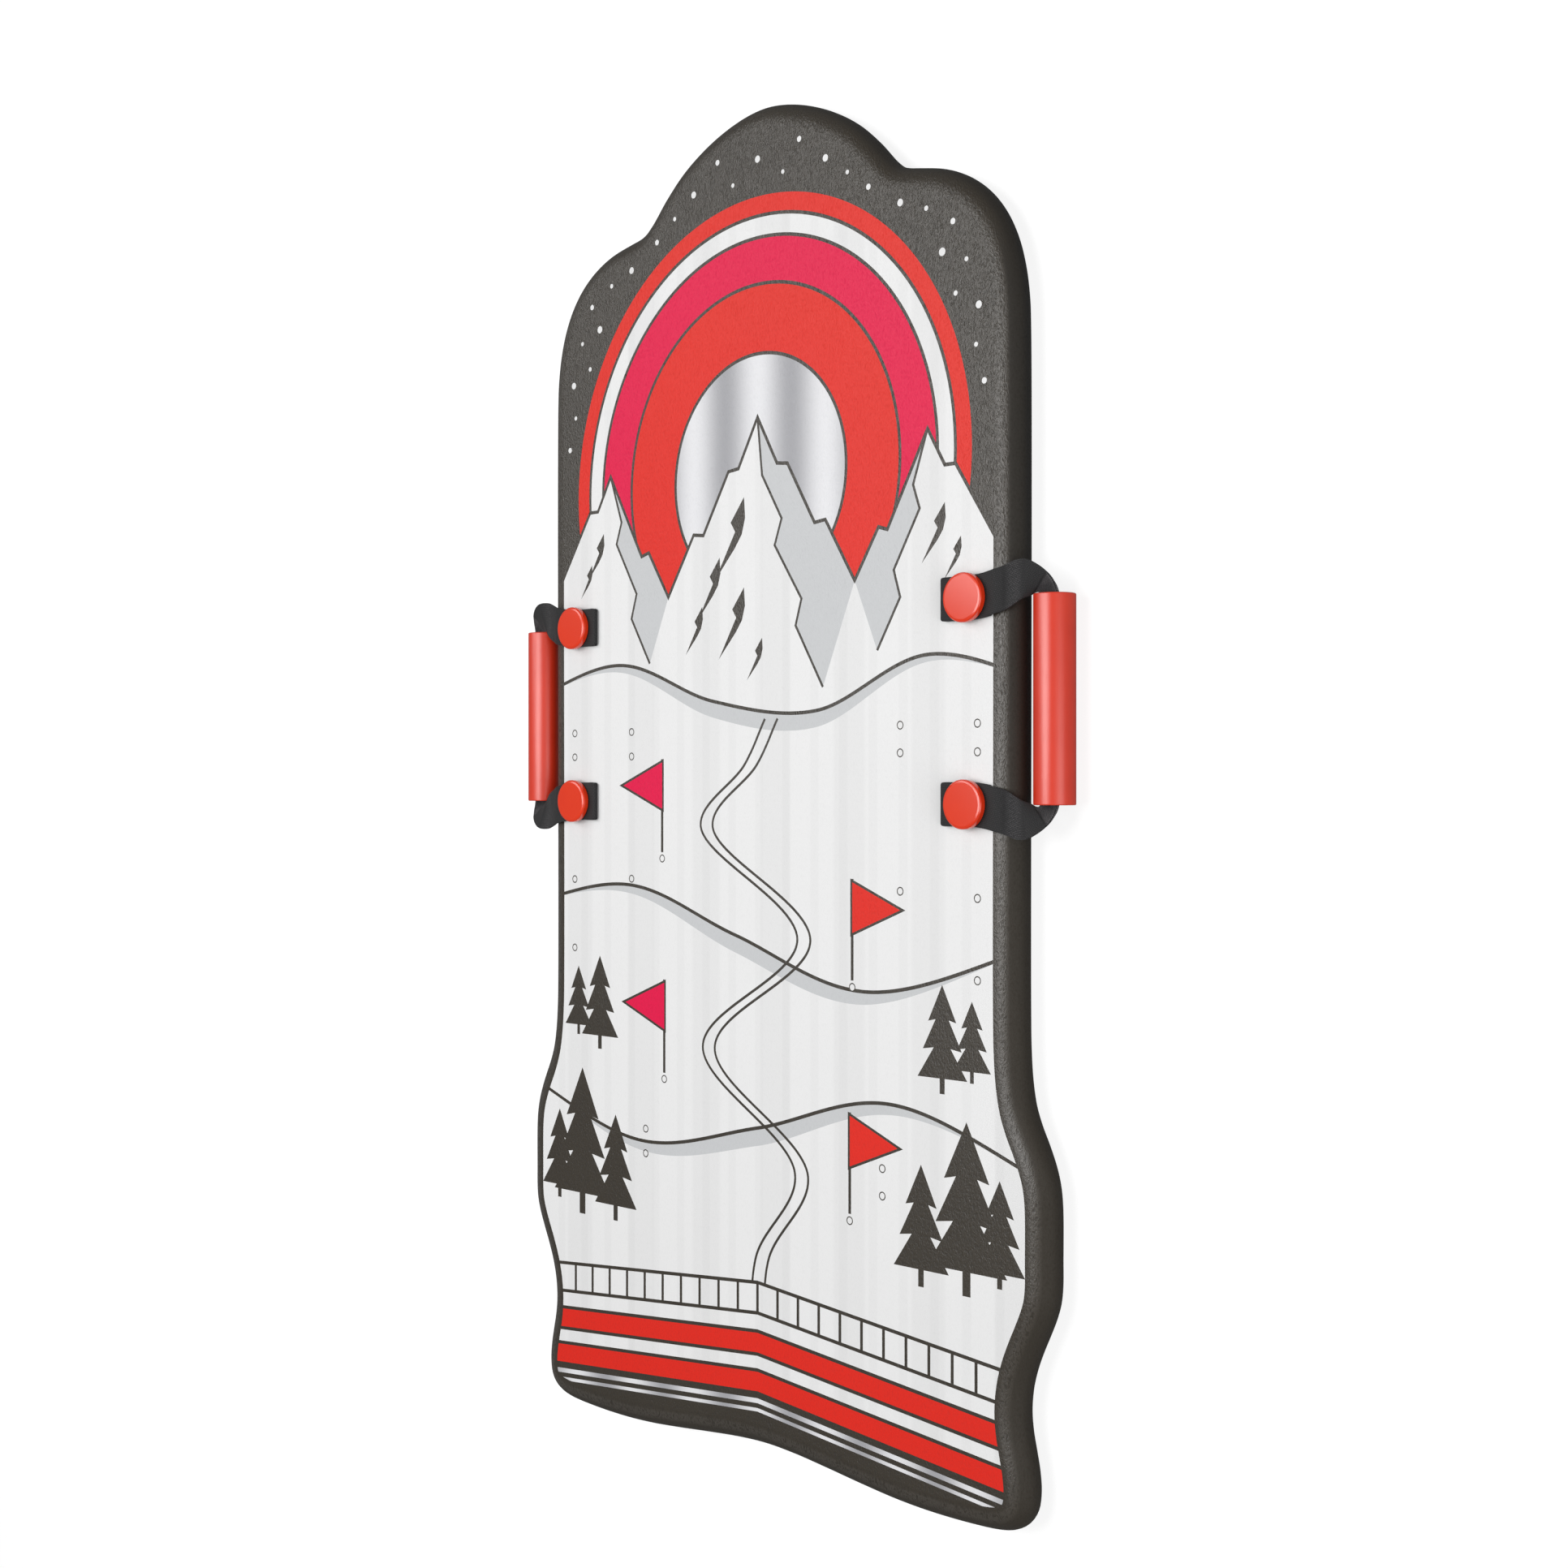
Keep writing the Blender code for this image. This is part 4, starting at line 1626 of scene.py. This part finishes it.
@dataclass
class Handle:
    """One handle: its strap, grip, buttons and plugs.

    A cut is the strap's outer and inner edge at one place on its way from the rail to the grip,
    in millimetres from the middle of the grip's mouth.
    """

    side: Side
    tube: bpy.types.Material
    red: bpy.types.Material
    woven: bpy.types.Material
    width: float = 25 * MM
    thickness: float = 1.5 * MM
    tab_rise: float = 2.6 * MM
    fold_corner: float = 1.6 * MM
    fold_length: float = 34 * MM
    fold_steps: int = 12
    lead: float = 8 * MM
    cuts: tuple[tuple[Spot, Spot], ...] = (
        ((-25.0, 16.6, 12.3), (-25.0, -8.3, 11.9)),
        ((-18.0, 18.9, 11.9), (-18.6, -4.9, 11.0)),
        ((-9.4, 18.7, 12.8), (-14.8, -2.3, 9.2)),
        ((-3.4, 15.8, 11.6), (-12.9, -1.4, 7.4)),
        ((1.3, 11.6, 9.2), (-10.9, -0.4, 5.8)),
        ((3.8, 7.0, 7.1), (-8.9, 0.7, 5.1)),
        ((4.8, 2.2, 5.2), (-6.9, 0.6, 4.6)),
        ((5.2, -5.0, 4.0), (-5.8, -5.0, 4.2)),
    )
    gathered_width: float = 17 * MM
    gather_start: float = 0.12
    gather_end: float = 0.62
    trough_ease: float = 0.15
    loop_steps: int = 8
    halvings: int = 30
    edge_shares: tuple[float, ...] = (0.975, 0.992, 1.0)
    flat_share: float = 0.9
    flat_steps: int = 14
    crease: float = 60.0
    flex_in: float = 4 * MM
    flex_out: float = 13 * MM
    grip_wall: float = 3 * MM
    grip_round: float = 0.7 * MM
    mouth_round: float = 0.9 * MM
    head_height: float = 4.5 * MM
    head_round: float = 0.6 * MM
    bevel_width: float = 1.7 * MM
    bevel_drop: float = 0.35 * MM
    bevel_ratio: float = 3.0
    bevel_round: float = 0.4 * MM
    rim_round: float = 0.3 * MM
    barrel_radius: float = 5 * MM
    barrel_wall: float = 1.6 * MM
    barrel_roof: float = 4 * MM
    flange: float = 2 * MM
    flange_round: float = 0.7 * MM
    shank_gap: float = 0.3 * MM
    shank_round: float = 0.6 * MM

    def __post_init__(self) -> None:
        """Read the handle's places from the frame, on the right side, where X is positive."""
        word = self.side.word
        found = [j for j in frame["joints"] if j["name"] == f"{word}_handle_swing"]
        hinge = Vector(found[0]["pos_m"])
        self.forward = hinge.y
        self.hinge = Vector((abs(hinge.x), hinge.z))
        low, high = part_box(f"grip_{word}")
        middle = (low + high) / 2
        self.grip = Vector((abs(middle.x), middle.z))
        self.grip_radius = (high.z - low.z) / 2
        self.grip_half = (high.y - low.y) / 2
        low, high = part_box(f"strap_tab_front_{word}")
        self.lower = low.z + self.thickness / 2
        self.upper = high.z - self.thickness / 2
        self.tab_inner = min(abs(low.x), abs(high.x))
        low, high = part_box(f"button_front_{word}")
        self.button_x = abs((low.x + high.x) / 2)
        self.button_y = (low.y + high.y) / 2 - self.forward

    def tab_sections(self) -> list[Section]:
        """The folded end: the lower layer in to the fold, and the upper layer back out.

        Returns:
            The sections, from the strap's end to the hinge.
        """
        fold_radius = (self.upper - self.lower) / 2
        fold_x = self.tab_inner + fold_radius + self.thickness / 2
        reach = self.hinge.x - self.button_x
        path = []
        steps = self.fold_steps
        for step in range(steps):
            x = fold_x + self.fold_length * (1 - step / steps)
            path.append((x, self.lower, -UP))
        for step in range(steps + 1):
            angle = math.radians(-90 - 180 * step / steps)
            out = Vector((math.cos(angle), 0, math.sin(angle)))
            middle = (self.lower + self.upper) / 2
            path.append((fold_x + fold_radius * out.x, middle + fold_radius * out.z, out))
        for step in range(1, 2 * steps):
            x = fold_x + (self.hinge.x - fold_x) * step / (2 * steps)
            path.append((x, self.upper, UP))
        sections = []
        for x, z, out in path:
            drift = self.tab_rise * max(0.0, (x - self.button_x) / reach) ** 2
            centre = Vector((x, self.button_y + drift, z))
            short = max(0.0, self.fold_corner - (x - fold_x + fold_radius))
            trim = self.fold_corner - math.sqrt(self.fold_corner**2 - short**2)
            sections.append(Section(centre, Vector((0, 1, 0)), out, trim=trim))
        return sections

    def edges_at(self, x: float) -> tuple[Vector, Vector]:
        """The flat strap's outer and inner edge near the hinge.

        Args:
            x: The place across the board.

        Returns:
            The two edges' places.
        """
        middle = self.button_y + self.tab_rise
        return tuple(
            Vector((x, middle + sign * self.width / 2, self.hinge.y)) for sign in (1, -1)
        )

    def loop_sections(self) -> list[Section]:
        """The free strap: over the rail, gathered into a trough and turned down into the grip.

        Returns:
            The sections, from the hinge to the middle of the grip.
        """
        mouth = Vector((self.grip.x, self.grip_half, self.grip.y))
        cuts = [self.edges_at(self.hinge.x - self.lead), self.edges_at(self.hinge.x)]
        cuts += [tuple(mouth + Vector(spot) * MM for spot in cut) for cut in self.cuts]
        last = cuts[-1]
        cuts.append(tuple(Vector((edge.x, 0, edge.z)) for edge in last))
        cuts.append(tuple(Vector((edge.x, -edge.y, edge.z)) for edge in last))
        pairs = []
        for k in range(1, len(cuts) - 2):
            near = cuts[k - 1 : k + 3]
            for step in range(self.loop_steps):
                share = step / self.loop_steps
                pairs.append([centripetal(*(cut[i] for cut in near), share) for i in (0, 1)])
        pairs.append(cuts[-2])
        middles = [(outer + inner) / 2 for outer, inner in pairs]
        sections = []
        for i, (outer, inner) in enumerate(pairs):
            ahead = middles[min(i + 1, len(pairs) - 1)] - middles[max(i - 1, 0)]
            share = eased(i / len(pairs), self.gather_start, self.gather_end)
            width = self.width + (self.gathered_width - self.width) * share
            sections.append(self.gathered(outer, inner, ahead, width))
        return sections

    def gathered(self, outer: Vector, inner: Vector, ahead: Vector, width: float) -> Section:
        """A section from the strap's edges: a trough where they are closer than its width.

        Args:
            outer: The edge away from the sled's middle.
            inner: The other edge.
            ahead: The strap's direction there.
            width: The strap's width there, less what folds over at its edges.

        Returns:
            The section on the right side, at the front end.
        """
        chord = outer - inner
        across = chord.normalized()
        out = ahead.cross(across).normalized()
        low, high = 0.0, math.pi
        for _ in range(self.halvings):
            half = (low + high) / 2
            if math.sin(half) * width > chord.length * half:
                low = half
            else:
                high = half
        half = half * half / (half + self.trough_ease)
        radius = chord.length / 2 / math.sin(half)
        centre = (outer + inner) / 2 - out * (radius * (1 - math.cos(half)))
        return Section(centre, across, out, -half, -radius)

    def ring(self, draft: Draft, section: Section, mirror: Vector, along: float) -> list[Vert]:
        """A section's ring of vertices, rounded at the strap's edges.

        Args:
            draft: The mesh in the making.
            section: The section, on the right side at the front end.
            mirror: The signs that bring it to its own side and end.
            along: Its distance along the strap.

        Returns:
            The ring.
        """
        edge = 1 - self.thickness / self.width
        flat = self.flat_share
        rim = [edge, *self.edge_shares]
        shares = [-share for share in reversed(rim)]
        shares += [-flat + 2 * flat * k / self.flat_steps for k in range(self.flat_steps + 1)]
        shares += rim
        outer = []
        inner = []
        for share in shares:
            over = max(0.0, (abs(share) - edge) / (1 - edge))
            half = self.thickness / 2 * math.sqrt(max(0.0, 1 - over * over))
            if section.curl:
                angle = share * section.curl
                offset = section.across * (section.radius * math.sin(angle))
                offset += section.out * (section.radius * (math.cos(angle) - 1))
                normal = section.out * math.cos(angle) + section.across * math.sin(angle)
            else:
                offset = section.across * (share * (self.width / 2 - section.trim))
                normal = section.out
            where = (along, share * self.width / 2, abs(section.curl))
            middle = section.centre + offset
            shift = Vector((0, self.forward, 0))
            outer.append(draft.point((middle + normal * half) * mirror + shift, where))
            if half > 0:
                inner.append(draft.point((middle - normal * half) * mirror + shift, where))
        return outer + inner[::-1]

    def strap(self) -> bpy.types.Object:
        """The whole strap: folded under the front button, through the grip, to the rear button.

        Returns:
            The strap.
        """
        half = self.tab_sections() + self.loop_sections()
        draft = Draft()
        rings = []
        along = 0.0
        last = None
        for end in End:
            mirror = Vector((self.side.value, end.value, 1))
            ordered = half if end is End.FRONT else half[-2::-1]
            for section in ordered:
                here = section.centre * mirror
                along += (here - last).length if last else 0.0
                last = here
                rings.append(self.ring(draft, section, mirror, along))
        draft.grid(rings)
        draft.face(rings[0])
        draft.face(rings[-1])
        word = self.side.word
        strap = draft.finish(f"strap_{word}", [self.woven], self.crease)
        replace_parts(strap, *(f"strap_tab_{end.word}_{word}" for end in End), f"strap_loop_{word}")
        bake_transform(strap)
        return strap

    def grip_tube(self) -> bpy.types.Object:
        """The loose tube, its ends softened.

        Returns:
            The grip.
        """
        bore = self.grip_radius - self.grip_wall
        half = self.grip_half
        corners = [
            ((self.grip_radius, half), self.grip_round),
            ((self.grip_radius, -half), self.grip_round),
            ((bore, -half), self.mouth_round),
            ((bore, half), self.mouth_round),
        ]
        word = self.side.word
        centre = Vector((self.side.value * self.grip.x, self.forward, self.grip.y))
        grip = turned(f"grip_tube_{word}", filleted(corners), centre, "Y", self.tube)
        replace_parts(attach(grip, f"{word}_sleeve"), f"grip_{word}")
        return grip

    def upright(self, node: str) -> tuple[Vector, float, float, float]:
        """Measure a round upright node.

        Args:
            node: Its name.

        Returns:
            Its middle on the plan, its radius, its foot and its top.
        """
        low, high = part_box(node)
        middle = (low + high) / 2
        return Vector((middle.x, middle.y, 0)), (high.x - low.x) / 2, low.z, high.z

    def button(self, end: End) -> bpy.types.Object:
        """A flat round head with a rounded rim, on its hollow barrel.

        Args:
            end: Its end of the handle.

        Returns:
            The button.
        """
        name = f"{end.word}_{self.side.word}"
        centre, radius, foot, top = self.upright(f"button_{name}")
        seat = top - self.head_height
        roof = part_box("deck_skin")[1].z - self.barrel_roof
        bore = self.barrel_radius - self.barrel_wall
        inner = radius - self.bevel_width
        outer = radius - self.bevel_width / self.bevel_ratio
        corners = [
            ((0.0, top), 0.0),
            ((inner, top), self.bevel_round),
            ((outer, top - self.bevel_drop), self.bevel_round),
            ((radius, top - self.bevel_ratio * self.bevel_drop), self.rim_round),
            ((radius, seat), self.head_round),
            ((self.barrel_radius, seat), 0.0),
            ((self.barrel_radius, foot), 0.0),
            ((bore, foot), 0.0),
            ((bore, roof), 0.0),
            ((0.0, roof), 0.0),
        ]
        made = turned(f"button_head_{name}", filleted(corners), centre, "Z", self.red)
        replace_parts(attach(made, "board"), f"button_{name}")
        return made

    def plug(self, end: End) -> bpy.types.Object:
        """A flanged plug let into the running face, its shank up inside the barrel.

        Args:
            end: Its end of the handle.

        Returns:
            The plug.
        """
        name = f"{end.word}_{self.side.word}"
        centre, radius, foot, top = self.upright(f"plug_{name}")
        shank = self.barrel_radius - self.barrel_wall - self.shank_gap
        corners = [
            ((0.0, top), 0.0),
            ((shank, top), self.shank_round),
            ((shank, foot + self.flange), 0.0),
            ((radius, foot + self.flange), 0.0),
            ((radius, foot), self.flange_round),
            ((0.0, foot), 0.0),
        ]
        made = turned(f"plug_cap_{name}", filleted(corners), centre, "Z", self.red)
        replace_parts(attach(made, "board"), f"plug_{name}")
        return made

    def build(self) -> list[bpy.types.Object]:
        """Make the handle's pieces.

        Returns:
            The pieces, in the order of their making.
        """
        pieces = [self.strap(), self.grip_tube()]
        for end in End:
            pieces += [self.button(end), self.plug(end)]
        return pieces


@dataclass(frozen=True)
class SoftBox:
    """A square lamp that faces the sled's middle: its place, its width and its watts.

    Without gloss it doesn't show in glossy surfaces.
    """

    name: str
    place: Spot
    size: float
    power: float
    gloss: bool = True

    def hang(self) -> None:
        """Add the lamp to the scene."""
        data = bpy.data.lights.new(self.name, "AREA")
        data.shape = "SQUARE"
        data.size = self.size
        data.energy = self.power
        made = bpy.data.objects.new(self.name, data)
        made.location = self.place
        made.rotation_euler = Vector(self.place).to_track_quat("Z", "Y").to_euler()
        made.visible_camera = False
        made.visible_glossy = self.gloss
        bpy.context.scene.collection.objects.link(made)


@dataclass
class Studio:
    """A pale floor, soft lights and the camera."""

    camera_place: Spot = (0.9604, 0.0, 0.9619)
    camera_tilt: float = math.radians(45)
    lens: float = 50.0
    sensor: float = 36.0
    floor_size: float = 14.0
    floor_gap: float = 0.05 * MM
    floor_glow: float = 0.80
    floor_colour: Colour = (0.30, 0.30, 0.30)
    floor_bounce: Colour = (0.25, 0.25, 0.25)
    gloss_share: float = 0.1
    room_glow: float = 0.12
    lamps: tuple[SoftBox, ...] = (
        SoftBox("overhead_box", (-0.15, 0.12, 1.60), 0.95, 15.0),
        SoftBox("far_box", (-2.6, 1.65, 3.5), 2.2, 52.0),
        SoftBox("front_box", (3.45, -0.2, 2.15), 3.6, 90.0, gloss=False),
        SoftBox("side_box", (2.0, -0.5, 0.7), 1.2, 8.0),
    )

    def camera(self) -> None:
        """Look at the deck from its right, at 45 degrees, with the nose up."""
        data = bpy.data.cameras.new("camera")
        data.lens = self.lens
        data.sensor_width = self.sensor
        made = bpy.data.objects.new("camera", data)
        made.location = self.camera_place
        made.rotation_euler = (0, self.camera_tilt, 0)
        bpy.context.scene.collection.objects.link(made)
        bpy.context.scene.camera = made

    def floor(self) -> None:
        """A pale floor that the camera, gloss and glass see as white, with the sled's shadow."""
        bpy.ops.mesh.primitive_plane_add(size=self.floor_size, location=(0, 0, -self.floor_gap))
        floor = bpy.context.active_object
        floor.name = "floor"
        s = Shader.of_material("floor")
        matte = s.node("ShaderNodeBsdfDiffuse", inputs={"Color": (*self.floor_colour, 1.0)})
        glow = s.node("ShaderNodeEmission", inputs={"Strength": self.floor_glow})
        lit = s.node("ShaderNodeAddShader", inputs={0: matte, 1: glow})
        dim = s.node("ShaderNodeBsdfDiffuse", inputs={"Color": (*self.floor_bounce, 1.0)})
        shown = s.node("ShaderNodeMixShader", inputs={0: self.seen(s), 1: dim, 2: lit})
        s.feed(s.tree.nodes["Material Output"].inputs["Surface"], shown)
        floor.data.materials.append(s.owner)

    def seen(self, s: Shader) -> Value:
        """1 to the camera and through glass, and a share of 1 in gloss.

        Args:
            s: The shader that uses it.

        Returns:
            The share.
        """
        names = ("Is Camera Ray", "Is Transmission Ray", "Is Glossy Ray")
        camera, glass, gloss = (s.node("ShaderNodeLightPath", output=name) for name in names)
        return camera + glass + gloss * self.gloss_share

    def room(self) -> None:
        """Even dim light from all round, seen as white."""
        s = Shader(bpy.data.worlds.new("room"))
        bpy.context.scene.world = s.owner
        background = s.tree.nodes["Background"].inputs
        s.feed(background["Color"], (1.0, 1.0, 1.0, 1.0))
        s.feed(background["Strength"], self.seen(s) * (1 - self.room_glow) + self.room_glow)

    def build(self) -> None:
        """Set up the camera, lamps, floor and room."""
        self.camera()
        for lamp in self.lamps:
            lamp.hang()
        self.floor()
        self.room()
        bpy.context.scene.view_settings.view_transform = "Standard"
        log.info("studio done")


def main() -> None:
    """Build the sled and its studio, and report each piece."""
    logging.basicConfig(level=logging.INFO, format="%(name)s: %(message)s")
    pieces = Board().build()
    finishes = (TUBE_PLASTIC.material(), BUTTON_PLASTIC.material(), WEBBING.material())
    for side in Side:
        pieces += Handle(side, *finishes).build()
    for piece in pieces:
        log.info("%s: %d faces", piece.name, len(piece.data.polygons))
    Studio().build()


if __name__ == "__main__":
    main()
